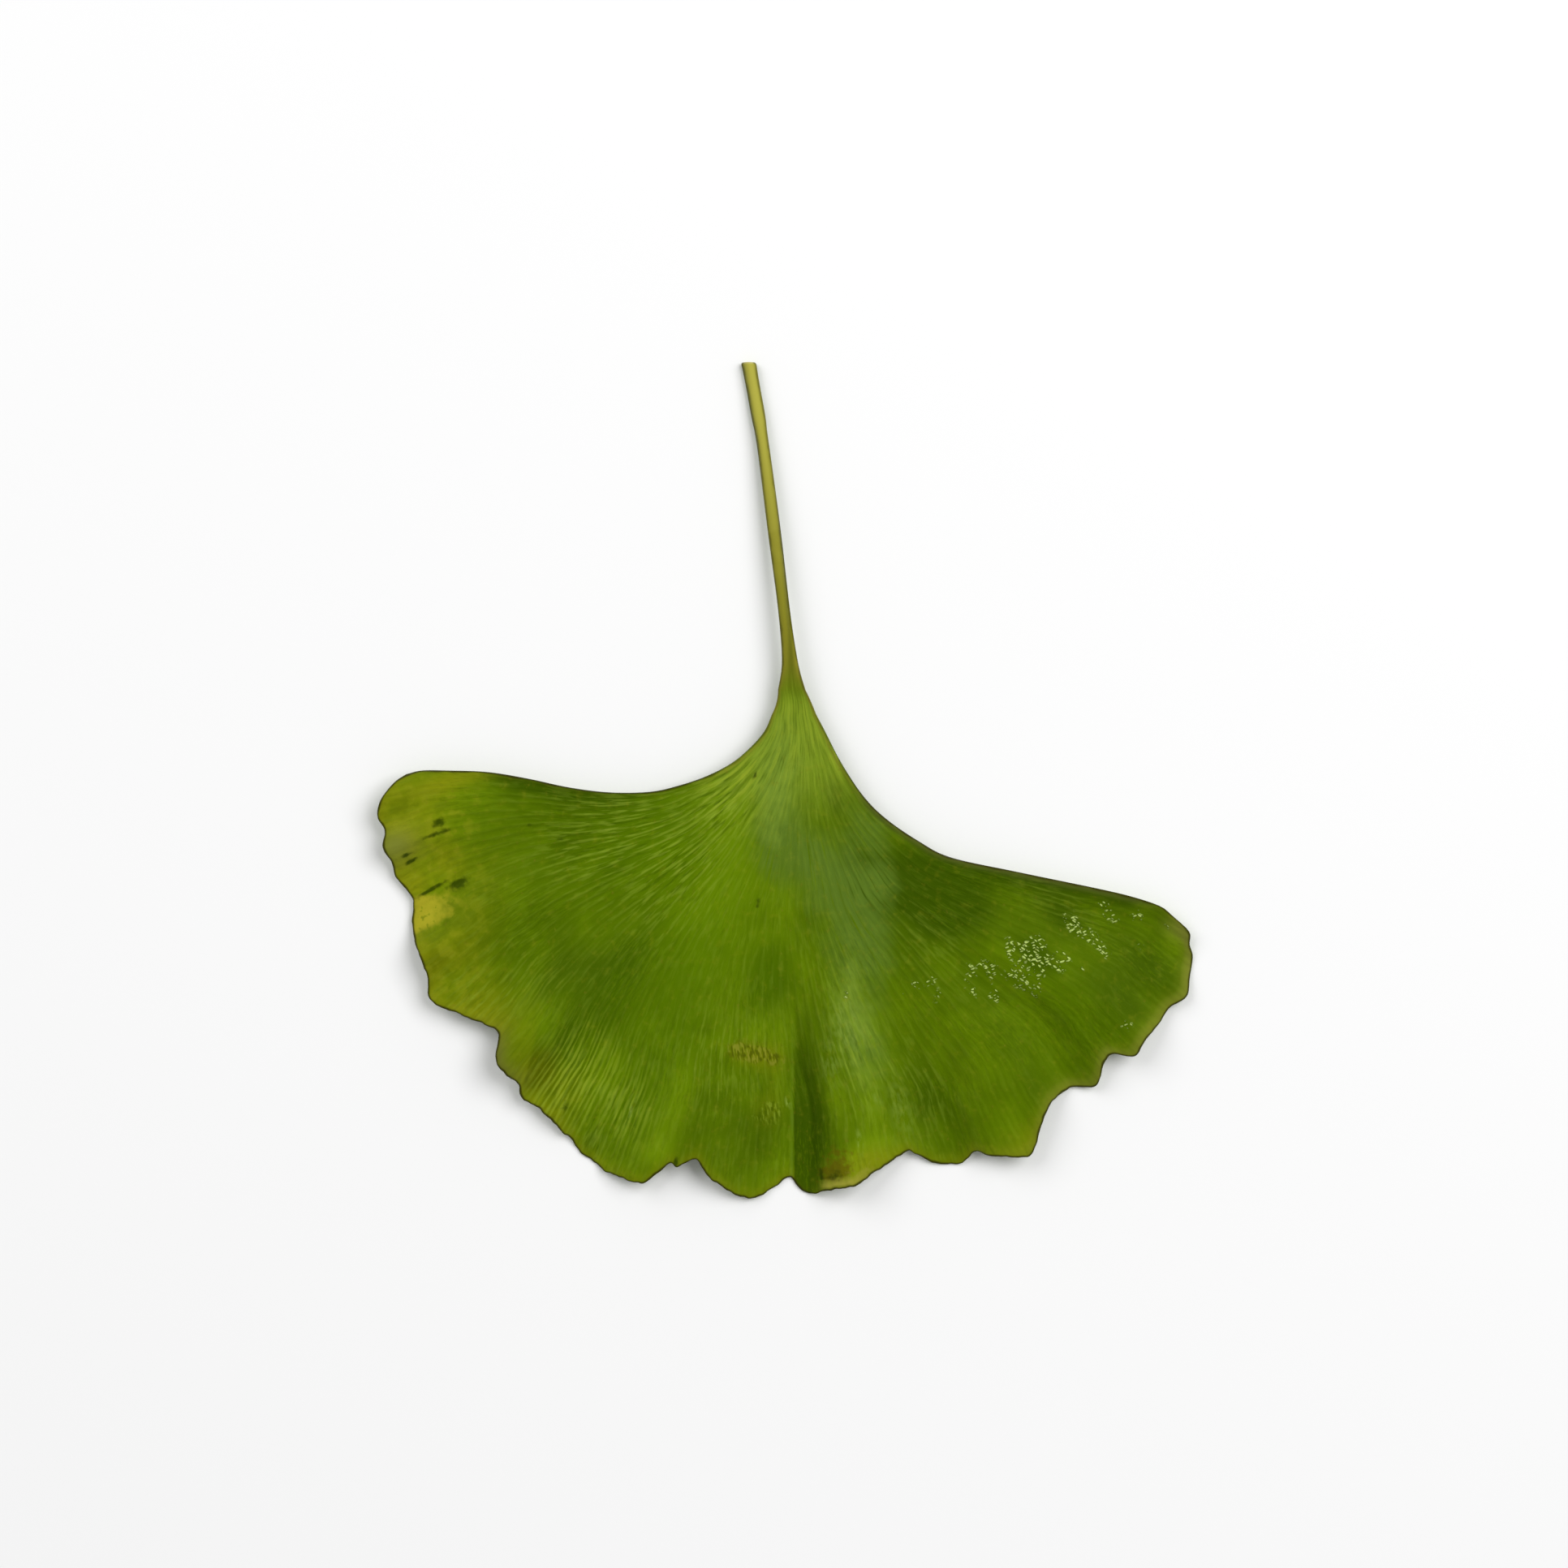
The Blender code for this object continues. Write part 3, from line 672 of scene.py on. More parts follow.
# Small dark bruises, most of them on the left corner, rows of scars beside the crease, a brown spot at
# its foot, and a pale rim beside that spot
BRUISES = [
    (-34.1, -4.7, 0.5, 0.7, 1.0),
    (-35.0, -6.0, 0.2, 1.1, 0.9),
    (-33.6, -5.6, 0.24, 0.5, 0.9),
    (-37.4, -7.9, 0.2, 0.6, 1.1),
    (-37.0, -8.5, 0.2, 0.7, 1.1),
    (-35.0, -11.3, 0.2, 1.7, 1.3),
    (-32.2, -10.7, 0.6, 0.9, 1.1),
    (-33.2, -11.0, 0.3, 1.2, 0.35),
    (-25.0, -4.8, 0.2, 0.5, 0.7),
    (-21.8, -32.8, 0.4, 0.5, 0.8),
    (-22.2, -6.3, 0.2, 0.5, 0.7),
    (-21.4, -5.0, 0.2, 0.4, 0.6),
    (-16.5, -8.4, 0.15, 0.5, 0.7),
    (-3.0, 0.1, 0.18, 0.6, 0.9),
    (-2.7, -12.7, 0.24, 0.3, 1.6),
    (-3.0, -27.1, 1.7, 0.16, 0.55),
    (-4.4, -27.1, 0.3, 0.3, 0.6),
    (-10.8, -38.2, 0.3, 0.5, 0.9),
    (3.5, -39.5, 0.22, 0.6, 1.3),
    (4.8, -39.4, 0.9, 0.45, 0.9),
]
SCARRED = [
    (-4.4, -27.2, 1.4, 0.8, 1.0),
    (-2.6, -27.6, 1.4, 0.7, 0.9),
    (-0.8, -28.1, 1.2, 0.5, 0.6),
]
PALE_SCARRED = [
    (-1.2, -33.2, 1.2, 1.1, 1.0),
    (-2.8, -33.8, 1.0, 0.7, 0.5),
]
BROWNED = [
    (5.2, -37.4, 1.3, 0.9, 0.7),
    (5.0, -38.6, 1.7, 0.5, 1.0),
    (4.8, -39.6, 1.7, 0.7, 1.0),
]
mark("bruised", patches(BRUISES))
mark("scarred", patches(SCARRED))
mark("pale_scarred", patches(PALE_SCARRED))
mark("browned", patches(BROWNED))
foot = ease(-all_y, 36.0, 38.0)
mark("pale_foot", near(inside_rim, 1.2) * band(all_x, 5.2, 6.6, 7.2, 10.0) * foot)
mark("bright_foot", 0.6 * near(inside_rim - 0.45, 0.22) * band(all_x, 3.2, 4.2, 5.2, 8.2) * foot)

# Dried sap on the right lobe, in ragged clusters, painted with its glint
FLECKED = [
    (22.4, -17.0, 0.9, 1.0, 1.0),
    (24.0, -18.0, 1.0, 1.0, 1.0),
    (25.8, -18.1, 0.8, 1.2, 1.0),
    (27.4, -17.9, 0.6, 0.8, 0.9),
    (22.6, -19.3, 1.0, 0.9, 1.0),
    (24.8, -19.5, 0.7, 1.0, 0.9),
    (26.8, -18.7, 0.5, 1.0, 0.9),
    (23.2, -20.4, 0.6, 0.9, 0.9),
    (24.6, -21.4, 0.6, 0.9, 0.8),
    (24.6, -16.2, 0.7, 0.8, 0.8),
    (28.0, -14.3, 0.8, 0.9, 1.0),
    (29.2, -15.4, 0.8, 1.0, 1.0),
    (30.4, -16.3, 0.6, 0.9, 1.0),
    (31.4, -13.0, 0.5, 0.8, 0.9),
    (32.2, -14.2, 0.6, 0.9, 0.9),
    (34.6, -13.9, 0.6, 0.9, 0.7),
    (34.9, -16.9, 0.5, 0.9, 0.6),
    (31.2, -17.4, 0.5, 0.9, 0.7),
    (29.4, -19.3, 0.3, 0.3, 1.0),
    (18.0, -19.3, 0.6, 1.0, 0.8),
    (18.4, -21.3, 0.6, 0.9, 0.8),
    (14.4, -20.8, 1.0, 1.6, 0.5),
    (12.7, -20.4, 0.3, 0.3, 1.2),
    (11.6, -21.3, 0.25, 0.3, 1.1),
    (5.9, -21.5, 0.3, 0.25, 1.2),
    (20.0, -19.0, 0.8, 1.4, 0.8),
    (20.6, -21.6, 0.8, 0.7, 0.8),
    (37.8, -15.2, 0.4, 0.6, 0.6),
    (33.8, -25.0, 0.7, 1.0, 0.6),
]
mark("flecked", patches(FLECKED))

# The petiole, whose colour runs on a little along the side edges, and the paler neck of the fan
at_edge = near(side_distance, 0.3)
mark("petiole", 1.0 - ease(all_reach, -3.4 + 4.5 * at_edge, 1.4 + 5.0 * at_edge))
mark("channel", channel)
mark("aged", ease(-all_reach, 3.0, 32.0))
mark("cut_end", 1.0 - ease(all_reach, -32.36, -32.2))
neck_sides = 0.2 * patch(-5.2, 0.6, 1.6, 2.6) + 0.2 * patch(5.0, 1.8, 0.9, 2.4)
mark("neck", band(all_reach, -0.8, 2.0, 5.0, 16.0) + neck_sides)

# The rims: olive beside the neck, grey along the right lobe's side edge, dry by the kink, and pale along
# the right end of the margin and at the corners of both lobes
mark("inside", inside_rim)
mark("side_rim", near(side_distance - 0.3, 0.14) * (1.0 - ease(all_reach, 8.0, 14.0)))
grey_rim = near(side_distance, 0.5) * (all_across > 0.5) * ease(all_reach, 10.0, 15.0)
mark("grey_rim", grey_rim * (1.0 - ease(all_x, 34.0, 38.0)))
mark("dry_rim", near(inside_rim, 1.0) * near(all_y + 27.6, 2.4) * (all_x < -24.0))
right_rim = near(margin_inside, 0.8) * ease(all_across, 0.7, 0.86)
pale_corners = patch(-38.5, -7.0, 1.5, 2.0) + 0.8 * patch(38.9, -15.2, 1.0, 1.4)
mark("pale_rim", right_rim * (0.6 + 0.4 * ease(all_across, 0.93, 0.97)) + pale_corners)

# The veins, which of the two faces a point is on, and its place as (across, reach)
mark("vein", all_vein)
mark("underside", np.zeros_like(all_x), np.ones_like(all_x))
fan_places = np.column_stack([all_across, all_reach, np.zeros_like(all_x)])
fan_mark = leaf_mesh.attributes.new("fan", "FLOAT_VECTOR", "POINT")
fan_mark.data.foreach_set("vector", np.vstack([fan_places, fan_places]).astype(np.float32).ravel())

leaf_skin = bpy.data.materials.new("leaf_skin")
leaf_skin.use_nodes = True
skin = leaf_skin.node_tree
surface = skin.nodes["Principled BSDF"]


def pigment(red, green, blue):
    """A colour given as the eye reads it, 0 to 255, turned into light."""
    shares = np.array([red, green, blue]) / 255.0
    bright = ((shares + 0.055) / 1.055) ** 2.4
    return tuple(np.where(shares <= 0.04045, shares / 12.92, bright)) + (1.0,)


def plug(socket, value):
    """Joins a node's output to a socket, or sets the socket to a plain value."""
    if isinstance(value, bpy.types.NodeSocket):
        skin.links.new(value, socket)
    else:
        socket.default_value = value


def read_mark(name):
    """One of the numbers kept on the leaf's points."""
    node = skin.nodes.new("ShaderNodeAttribute")
    node.attribute_name = name
    return node.outputs["Fac"]


def sum_up(how, first, second):
    """Arithmetic on two numbers."""
    node = skin.nodes.new("ShaderNodeMath")
    node.operation = how
    plug(node.inputs[0], first)
    plug(node.inputs[1], second)
    return node.outputs[0]


def times(first, second):
    """The product of two numbers."""
    return sum_up("MULTIPLY", first, second)


def between(value, low, high):
    """A smooth step of a number from 0 at low to 1 at high."""
    node = skin.nodes.new("ShaderNodeMapRange")
    node.interpolation_type = "SMOOTHSTEP"
    plug(node.inputs["Value"], value)
    node.inputs["From Min"].default_value = low
    node.inputs["From Max"].default_value = high
    return node.outputs["Result"]


def grain(across_count, per_mm, detail=2.0, shift=0.0):
    """Noise drawn out along the veins: grains across the fan, and grains to each mm of reach."""
    stretch = skin.nodes.new("ShaderNodeVectorMath")
    stretch.operation = "MULTIPLY_ADD"
    skin.links.new(wavy_fan.outputs[0], stretch.inputs[0])
    stretch.inputs[1].default_value = (across_count, per_mm, 0.0)
    stretch.inputs[2].default_value = (shift, shift, 0.0)
    noise = skin.nodes.new("ShaderNodeTexNoise")
    noise.noise_dimensions = "2D"
    noise.inputs["Scale"].default_value = 1.0
    noise.inputs["Detail"].default_value = detail
    skin.links.new(stretch.outputs[0], noise.inputs["Vector"])
    return noise.outputs["Fac"]


def tint(under_colour, over_colour, amount, strength=1.0):
    """One colour laid over another by an amount from 0 to 1, times a strength."""
    if strength < 1.0:
        amount = times(amount, strength)
    node = skin.nodes.new("ShaderNodeMix")
    node.data_type = "RGBA"
    plug(node.inputs["Factor"], amount)
    plug(node.inputs[6], under_colour)
    plug(node.inputs[7], over_colour)
    return node.outputs[2]


plan = skin.nodes.new("ShaderNodeTexCoord")


def plan_noise(per_mm, detail=2.0):
    """Even noise of so many grains to each mm of the leaf."""
    noise = skin.nodes.new("ShaderNodeTexNoise")
    noise.noise_dimensions = "2D"
    noise.inputs["Scale"].default_value = per_mm / MM
    noise.inputs["Detail"].default_value = detail
    skin.links.new(plan.outputs["Object"], noise.inputs["Vector"])
    return noise.outputs["Fac"]


def swing(noise, size):
    """A noise made to swing about 0 by a size."""
    return times(sum_up("SUBTRACT", noise, 0.5), size)


def ragged(name, per_mm, depth):
    """One of the leaf's marks, made uneven by such a noise."""
    return sum_up("ADD", read_mark(name), swing(plan_noise(per_mm), depth))


# Places on the fan, made a little wavy across
VEIN_WAVINESS = 0.003
fan_node = skin.nodes.new("ShaderNodeAttribute")
fan_node.attribute_name = "fan"
fan_parts = skin.nodes.new("ShaderNodeSeparateXYZ")
skin.links.new(fan_node.outputs["Vector"], fan_parts.inputs[0])
wavy_fan = skin.nodes.new("ShaderNodeVectorMath")
wavy_fan.operation = "MULTIPLY_ADD"
skin.links.new(plan_noise(0.45).node.outputs["Color"], wavy_fan.inputs[0])
wavy_fan.inputs[1].default_value = (VEIN_WAVINESS, 0.0, 0.0)
skin.links.new(fan_node.outputs["Vector"], wavy_fan.inputs[2])

# Colours of the leaf
MID_GREEN = pigment(80, 106, 1)
DEEP_GREEN = pigment(50, 74, 0)
LIGHT_GREEN = pigment(104, 132, 6)
FRESH_GREEN = pigment(80, 112, 0)
STREAK_GREEN = pigment(138, 160, 48)
STRIPE_GREEN = pigment(140, 158, 42)
PAINTED_SHEEN_GREEN = pigment(83, 109, 32)
PALE_SHEEN_GREEN = pigment(118, 144, 46)
OLIVE_YELLOW = pigment(124, 130, 12)
KINK_OLIVE = pigment(82, 92, 0)
FACET_OLIVE = pigment(114, 120, 8)
CORNER_OLIVE = pigment(132, 138, 22)
GLINT_GREEN = pigment(148, 172, 74)
FOOT_PALE = pigment(182, 172, 72)
BRIGHT_YELLOW = pigment(166, 158, 38)
BRUISE_GREEN = pigment(34, 52, 2)
SCAR_BROWN = pigment(66, 72, 5)
SCAR_PALE = pigment(144, 142, 50)
SCAR_OLIVE = pigment(98, 106, 6)
SPOT_BROWN = pigment(94, 84, 6)
RIM_BROWN = pigment(46, 44, 8)
DRY_RIM = pigment(94, 94, 44)
PALE_RIM = pigment(118, 124, 44)
GREY_RIM = pigment(84, 87, 40)
SAP_GLINT = pigment(170, 190, 104)
NECK_GREEN = pigment(124, 146, 38)
PETIOLE_YELLOW = pigment(174, 168, 70)
PETIOLE_OLIVE = pigment(128, 124, 36)
CHANNEL_OLIVE = pigment(88, 90, 20)
CUT_PALE = pigment(196, 188, 128)
UNDER_GREEN = pigment(120, 142, 70)

# The green of the blade: broad mottling, then painted shade in the hollows, painted light on the crests
# and other marks laid over it
mottle = grain(7.0, 0.09, 2.0, 3.0)
green = tint(MID_GREEN, DEEP_GREEN, between(mottle, 0.5, 0.75), 0.3)
green = tint(green, LIGHT_GREEN, between(mottle, 0.5, 0.3), 0.25)
blotches = plan_noise(0.28, 3.0)
green = tint(green, LIGHT_GREEN, between(blotches, 0.5, 0.72), 0.22)
green = tint(green, DEEP_GREEN, between(blotches, 0.5, 0.28), 0.16)
# Painted shade of the hollows, the crease and the kink, with the darker side edges, then painted light on
# the crests
dark_grain = sum_up("ADD", read_mark("dark"), swing(grain(60.0, 0.2), 0.2))
green = tint(green, DEEP_GREEN, between(dark_grain, 0.1, 1.1))
green = tint(green, LIGHT_GREEN, between(read_mark("light"), 0.0, 1.0))
green = tint(green, FRESH_GREEN, read_mark("fresh"))
green = tint(green, OLIVE_YELLOW, between(read_mark("yellowed"), 0.05, 0.8))
green = tint(green, NECK_GREEN, read_mark("neck"), 0.75)
# The kink's painted shade, and painted light on the facet beside it, both olive
green = tint(green, KINK_OLIVE, read_mark("kink"), 0.8)
green = tint(green, FACET_OLIVE, read_mark("facet"), 0.3)
mottles = plan_noise(0.55, 4.0)
mottle_share = times(read_mark("mottled"), 0.4)
green = tint(green, CORNER_OLIVE, times(between(mottles, 0.48, 0.64), mottle_share))
green = tint(green, DEEP_GREEN, times(between(mottles, 0.48, 0.32), times(mottle_share, 0.5)))
# Painted sheen, paler and greyer, broken along the veins
sheen_breaks = between(grain(110.0, 0.15, 3.0, 9.0), 0.1, 0.5)
sheen_grain = times(ragged("painted_sheen", 0.35, 0.7), sheen_breaks)
green = tint(green, PAINTED_SHEEN_GREEN, between(sheen_grain, 0.05, 1.0))
green = tint(green, PALE_SHEEN_GREEN, between(ragged("pale_painted_sheen", 0.5, 0.8), 0.1, 1.0), 0.75)

# Pale broken lines over the veins and finer pale and dark dashes between them. Their number across the
# fan grows with the reach, as the veins' number does. A grain is given as (number across, number to a
# mm), and it turns into the next between two reaches.
DASH_GRAINS = [(18.0, 0.35), (56.0, 0.5), (130.0, 0.46), (230.0, 0.42)]
DASH_REACHES = [(3.0, 7.0), (13.0, 20.0), (28.0, 36.0)]


def turn_into(first, second, start, end):
    """One number near the junction that turns into another between two reaches."""
    mix = skin.nodes.new("ShaderNodeMix")
    plug(mix.inputs["Factor"], between(fan_parts.outputs["Y"], start, end))
    plug(mix.inputs["A"], first)
    plug(mix.inputs["B"], second)
    return mix.outputs["Result"]


def dashes(shift, low, high):
    """Broken lines along the veins, about as wide near the junction as at the margin."""
    found = between(grain(*DASH_GRAINS[0], 2.0, shift), low, high)
    for (across_count, per_mm), (start, end) in zip(DASH_GRAINS[1:], DASH_REACHES):
        finer = between(grain(across_count, per_mm, 2.0, shift), low, high)
        found = turn_into(found, finer, start, end)
    return found


vein_lines = times(between(read_mark("vein"), 0.35, 0.95), dashes(5.0, 0.4, 0.58))
vein_lines = times(vein_lines, read_mark("streaked"))
dark_dashes = times(dashes(21.0, 0.5, 0.7), sum_up("ADD", read_mark("streaked"), 0.16))
green = tint(green, DEEP_GREEN, dark_dashes, 0.55)
green = tint(green, STREAK_GREEN, vein_lines, 0.6)
pale_dashes = times(dashes(1.0, 0.52, 0.72), sum_up("ADD", read_mark("streaked"), 0.1))
green = tint(green, STREAK_GREEN, pale_dashes, 0.44)

# Broader pale stripes: uneven ones near the junction, and further out even ones that wander and break
FAR_STRIPE_COUNT = 215
near_stripes = grain(24.0, 0.2, 2.0, 33.0)
stripe_turns = times(fan_parts.outputs["X"], 2.0 * math.pi * FAR_STRIPE_COUNT)
stripe_turns = sum_up("ADD", stripe_turns, times(grain(90.0, 0.1, 2.0, 35.0), 9.0))
stripe_breaks = swing(grain(210.0, 0.35, 2.0, 37.0), 0.6)
far_stripes = times(sum_up("SINE", stripe_turns, 0.0), 0.16)
far_stripes = sum_up("ADD", sum_up("ADD", far_stripes, 0.5), stripe_breaks)
stripes = turn_into(near_stripes, far_stripes, 14.0, 24.0)
stripe_lines = times(between(stripes, 0.48, 0.66), read_mark("striped"))
stripe_gaps = times(between(stripes, 0.48, 0.36), read_mark("striped"))
green = tint(green, STRIPE_GREEN, stripe_lines, 0.6)
green = tint(green, DEEP_GREEN, stripe_gaps, 0.35)

# The crease, the finest grain between the veins, which comes and goes, and painted highlights on the
# wrinkled stretch
# Painted shade on the crease's right side
green = tint(green, DEEP_GREEN, read_mark("crease"), 0.5)
fine = grain(520.0, 1.1, 3.0, 41.0)
fine_share = times(between(plan_noise(0.14), 0.4, 0.64), 0.2)
green = tint(green, LIGHT_GREEN, times(between(fine, 0.5, 0.72), fine_share))
green = tint(green, DEEP_GREEN, times(between(fine, 0.5, 0.28), fine_share))
wrinkles = grain(240.0, 0.9, 3.0, 51.0)
green = tint(green, GLINT_GREEN, times(between(wrinkles, 0.38, 0.66), read_mark("glint")))

# The yellow patch, the rims, the brown spot with its pale rim, and the bruises, with ragged outlines
patch_specks = sum_up("SUBTRACT", 0.85, times(between(plan_noise(1.6, 3.0), 0.56, 0.66), 0.5))
patch_grain = times(between(ragged("bright_yellow", 1.1, 0.7), 0.0, 1.0), patch_specks)
green = tint(green, BRIGHT_YELLOW, patch_grain)
green = tint(green, DRY_RIM, read_mark("dry_rim"), 0.7)
green = tint(green, PALE_RIM, read_mark("pale_rim"))
green = tint(green, SPOT_BROWN, between(ragged("browned", 1.6, 1.5), 0.2, 1.0), 0.75)
green = tint(green, SCAR_PALE, between(ragged("pale_foot", 1.6, 1.2), 0.2, 1.0), 0.6)
green = tint(green, FOOT_PALE, read_mark("bright_foot"))
bruise_here = times(between(read_mark("bruised"), 0.03, 0.3), 0.85)
bruise_outline = between(ragged("bruised", 1.6, 1.0), 0.15, 0.95)
green = tint(green, BRUISE_GREEN, times(bruise_outline, bruise_here))


def sloping(slope, per_mm_along, per_mm_beside):
    """Places on the leaf turned to a slope in degrees, drawn out along it."""
    turn = skin.nodes.new("ShaderNodeVectorRotate")
    turn.rotation_type = "Z_AXIS"
    turn.inputs["Angle"].default_value = math.radians(-slope)
    skin.links.new(plan.outputs["Object"], turn.inputs["Vector"])
    stretched = skin.nodes.new("ShaderNodeVectorMath")
    stretched.operation = "MULTIPLY"
    skin.links.new(turn.outputs[0], stretched.inputs[0])
    stretched.inputs[1].default_value = (per_mm_along / MM, per_mm_beside / MM, 0.0)
    return stretched.outputs[0]


# Scar tissue in slanting rumples, olive, with painted light on their crests and brownish painted shade
# between them
rumples = skin.nodes.new("ShaderNodeTexNoise")
rumples.noise_dimensions = "2D"
rumples.inputs["Scale"].default_value = 1.0
rumples.inputs["Detail"].default_value = 1.5
skin.links.new(sloping(100.0, 1.3, 4.0), rumples.inputs["Vector"])
ticks = between(rumples.outputs["Fac"], 0.5, 0.64)
tick_shade = between(rumples.outputs["Fac"], 0.52, 0.36)
scar_here = between(ragged("scarred", 1.2, 0.9), 0.15, 0.6)
green = tint(green, SCAR_OLIVE, scar_here, 0.5)
green = tint(green, SCAR_BROWN, times(tick_shade, times(scar_here, 0.65)))
green = tint(green, SCAR_PALE, times(ticks, times(scar_here, 0.42)))
pale_scar_here = between(ragged("pale_scarred", 1.2, 0.8), 0.2, 0.8)
pale_ticks = times(ticks, pale_scar_here)
# The paler scars' rumples: painted shade between them and painted light on their crests
green = tint(green, DEEP_GREEN, times(tick_shade, times(pale_scar_here, 0.5)))
green = tint(green, STREAK_GREEN, pale_ticks, 0.42)

# Dried sap: short blobs of uneven size, in the drawn-out cells of two random nets at different slopes,
# painted with a glint and ringed with painted shade
BLOB_LENGTHWISE = 1.4
BLOB_CROSSWISE = 3.4


def blobs(slope, fineness, smallest, largest):
    """Such blobs at a slope, and the ground around them, for their painted shade."""
    cells = skin.nodes.new("ShaderNodeTexVoronoi")
    cells.voronoi_dimensions = "2D"
    cells.inputs["Scale"].default_value = 1.0
    net = sloping(slope, fineness * BLOB_LENGTHWISE, fineness * BLOB_CROSSWISE)
    skin.links.new(net, cells.inputs["Vector"])
    cell_chance = skin.nodes.new("ShaderNodeSeparateColor")
    skin.links.new(cells.outputs["Color"], cell_chance.inputs[0])
    size = sum_up("MULTIPLY_ADD", cell_chance.outputs["Red"], largest - smallest)
    size.node.inputs[2].default_value = smallest
    depth = sum_up("SUBTRACT", size, cells.outputs["Distance"])
    return between(depth, -0.04, 0.14), between(depth, -0.3, 0.05)


rising, rising_shade = blobs(20.0, 1.1, -0.2, 0.46)
falling, falling_shade = blobs(-38.0, 1.2, -0.3, 0.45)
clusters = between(ragged("flecked", 0.9, 1.4), 0.33, 0.6)
clusters = times(clusters, between(read_mark("flecked"), 0.1, 0.3))
flecks = times(sum_up("MAXIMUM", rising, falling), clusters)
sap_shade = times(sum_up("MAXIMUM", rising_shade, falling_shade), clusters)
# Painted shade around the sap blobs, and a painted glint on them
green = tint(green, DEEP_GREEN, sap_shade, 0.6)
green = tint(green, SAP_GLINT, times(flecks, between(plan_noise(2.4), 0.1, 0.55)))

# The petiole, yellower towards its cut end, with its channel and the hollow at its cut end painted darker
# as shade, and the rims
stalk = tint(PETIOLE_OLIVE, PETIOLE_YELLOW, read_mark("aged"))
stalk_mottle = ragged("aged", 0.5, 1.0)
stalk = tint(stalk, PETIOLE_OLIVE, between(stalk_mottle, 0.5, 0.2), 0.3)
# Painted shade in the channel and in the hollow at the cut end
stalk = tint(stalk, CHANNEL_OLIVE, read_mark("channel"), 0.8)
stalk = tint(stalk, CUT_PALE, read_mark("cut_end"))
green = tint(green, stalk, read_mark("petiole"))
green = tint(green, PETIOLE_OLIVE, read_mark("side_rim"), 0.5)
green = tint(green, GREY_RIM, read_mark("grey_rim"), 0.75)
soft_rim = times(between(read_mark("inside"), 0.8, 0.0), 0.16)
green = tint(green, RIM_BROWN, times(soft_rim, sum_up("SUBTRACT", 1.0, read_mark("petiole"))))
dark_rim = between(ragged("inside", 0.5, 0.3), 0.28, 0.08)
rim_strength = sum_up("SUBTRACT", 0.9, times(read_mark("petiole"), 0.35))
rim_strength = sum_up("SUBTRACT", rim_strength, times(read_mark("neck"), 0.35))
green = tint(green, RIM_BROWN, times(dark_rim, rim_strength))

# The underside, paler and with paler veins
underside = tint(UNDER_GREEN, STREAK_GREEN, read_mark("vein"), 0.5)
colour = tint(green, underside, read_mark("underside"))
plug(surface.inputs["Base Color"], colour)

# A satin sheen that varies along the veins, a fine grain of pores, and domes of sap and scar tissue
SHEEN_TINT = (0.6, 0.8, 0.06, 1.0)
PORE_DEPTH = 0.04
DOME_HEIGHT = 0.1
plug(surface.inputs["Roughness"], sum_up("ADD", 0.42, times(grain(220.0, 1.2), 0.2)))
surface.inputs["Specular IOR Level"].default_value = 0.15
surface.inputs["Specular Tint"].default_value = SHEEN_TINT
pores = skin.nodes.new("ShaderNodeBump")
pores.inputs["Strength"].default_value = 0.35
pores.inputs["Distance"].default_value = PORE_DEPTH * MM
plug(pores.inputs["Height"], grain(520.0, 2.4, 3.0, 6.0))
domes = skin.nodes.new("ShaderNodeBump")
domes.inputs["Strength"].default_value = 0.7
domes.inputs["Distance"].default_value = DOME_HEIGHT * MM
plug(domes.inputs["Height"], sum_up("ADD", flecks, times(pale_ticks, 0.5)))
plug(domes.inputs["Normal"], pores.outputs["Normal"])
plug(surface.inputs["Normal"], domes.outputs["Normal"])

leaf_mesh.materials.append(leaf_skin)
leaf = bpy.data.objects.new("leaf", leaf_mesh)
bpy.context.scene.collection.objects.link(leaf)
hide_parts("ginkgo_leaf")
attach(leaf, "root")

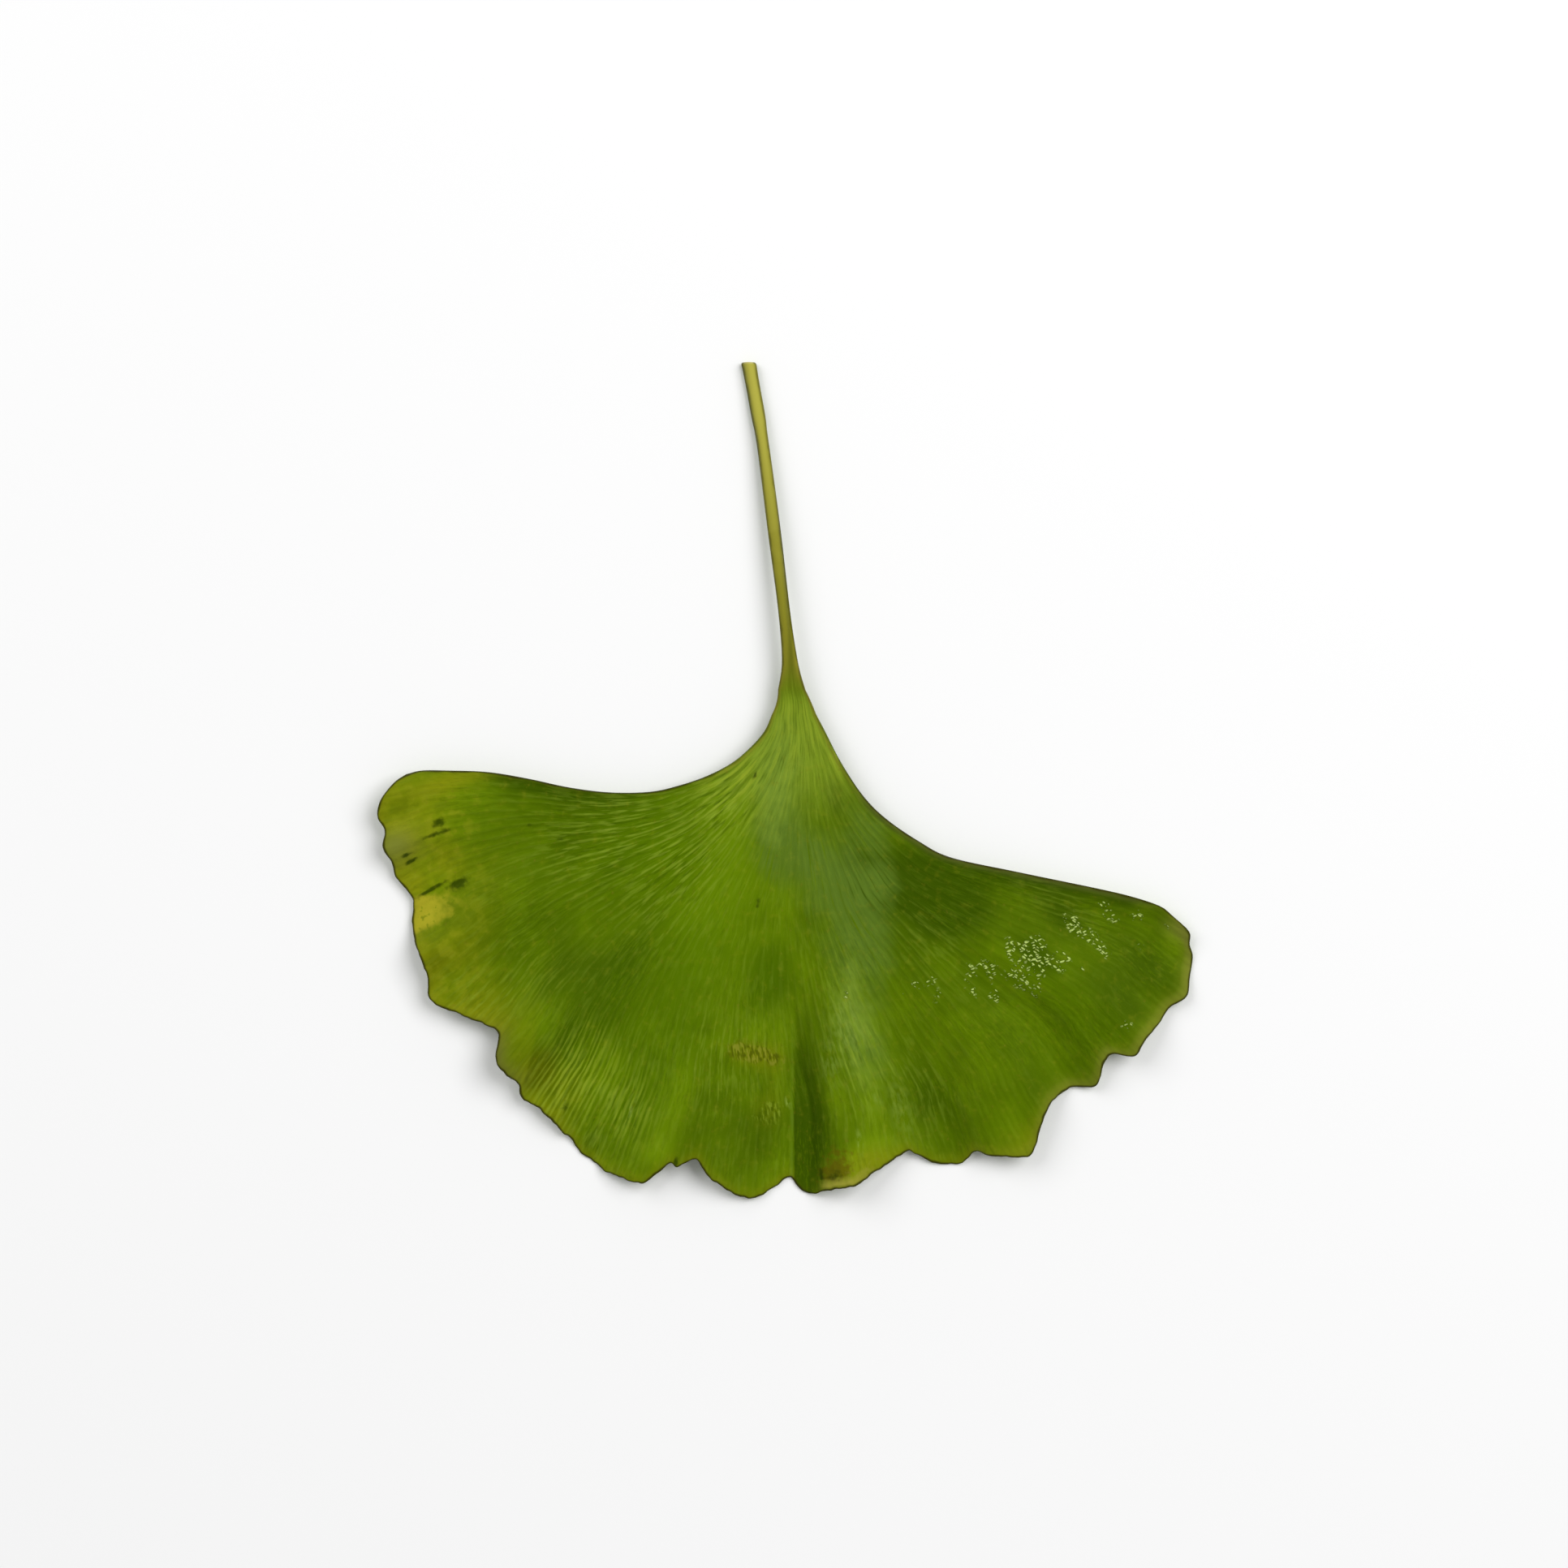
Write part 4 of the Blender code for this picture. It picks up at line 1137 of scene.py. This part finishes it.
# Floor
# A plain, pale, matt table top of painted board, which the leaf lies on. It is wide enough to fill every
# view, and lies a hair below the leaf, so that the two faces never fall together.
FLOOR_HALF = 3.0
FLOOR_DROP = 0.02
BOARD_PAINT = (0.9, 0.9, 0.9, 1.0)
floor_mesh = bpy.data.meshes.new("floor")
floor_mesh.from_pydata(
    [(-FLOOR_HALF, -FLOOR_HALF, 0.0), (FLOOR_HALF, -FLOOR_HALF, 0.0),
     (FLOOR_HALF, FLOOR_HALF, 0.0), (-FLOOR_HALF, FLOOR_HALF, 0.0)],
    [], [(0, 1, 2, 3)])
board = bpy.data.materials.new("floor_board")
board.use_nodes = True
paint = board.node_tree.nodes["Principled BSDF"]
paint.inputs["Base Color"].default_value = BOARD_PAINT
paint.inputs["Roughness"].default_value = 0.9
paint.inputs["Specular IOR Level"].default_value = 0.1
floor_mesh.materials.append(board)
floor = bpy.data.objects.new("floor", floor_mesh)
floor.location = (0.0, 0.0, -FLOOR_DROP * MM)
bpy.context.scene.collection.objects.link(floor)

# Lights
# A broad soft light from the right, a fainter one from the left, both a little beyond the petiole's end,
# and an even pale room. The lamps' places and width are in metres, their power in watts.
LAMP_WIDTH = 0.7
ROOM_LIGHT = 0.36


def softbox(name, place, power):
    """A square lamp that faces the leaf."""
    lamp = bpy.data.lights.new(name, "AREA")
    lamp.size = LAMP_WIDTH
    lamp.energy = power
    holder = bpy.data.objects.new(name, lamp)
    holder.location = place
    x, y, z = place
    holder.rotation_euler = (math.atan2(math.hypot(x, y), z), 0.0, math.atan2(x, -y))
    bpy.context.scene.collection.objects.link(holder)


softbox("key_light", (0.55, 0.3, 0.82), 7.4)
softbox("fill_light", (-0.6, 0.5, 0.7), 4.4)
room = bpy.data.worlds.new("room")
room.use_nodes = True
sky = room.node_tree.nodes["Background"]
sky.inputs["Color"].default_value = (1.0, 1.0, 1.0, 1.0)
sky.inputs["Strength"].default_value = ROOM_LIGHT
bpy.context.scene.world = room
bpy.context.scene.view_settings.view_transform = "Standard"

# Camera
# It looks straight down on the leaf, from so far that its frame is 154.56 mm wide at the height of the
# leaf's blade.
LENS = 100.0
SENSOR = 36.0
FRAME_WIDTH = 154.56
FRAME_MIDDLE = (-0.2, -0.31)
FOCUS_HEIGHT = 2.0
lens = bpy.data.cameras.new("camera")
lens.lens = LENS
lens.sensor_width = SENSOR
camera = bpy.data.objects.new("camera", lens)
camera_height = FRAME_WIDTH * LENS / SENSOR + FOCUS_HEIGHT
camera.location = (FRAME_MIDDLE[0] * MM, FRAME_MIDDLE[1] * MM, camera_height * MM)
bpy.context.scene.collection.objects.link(camera)
bpy.context.scene.camera = camera
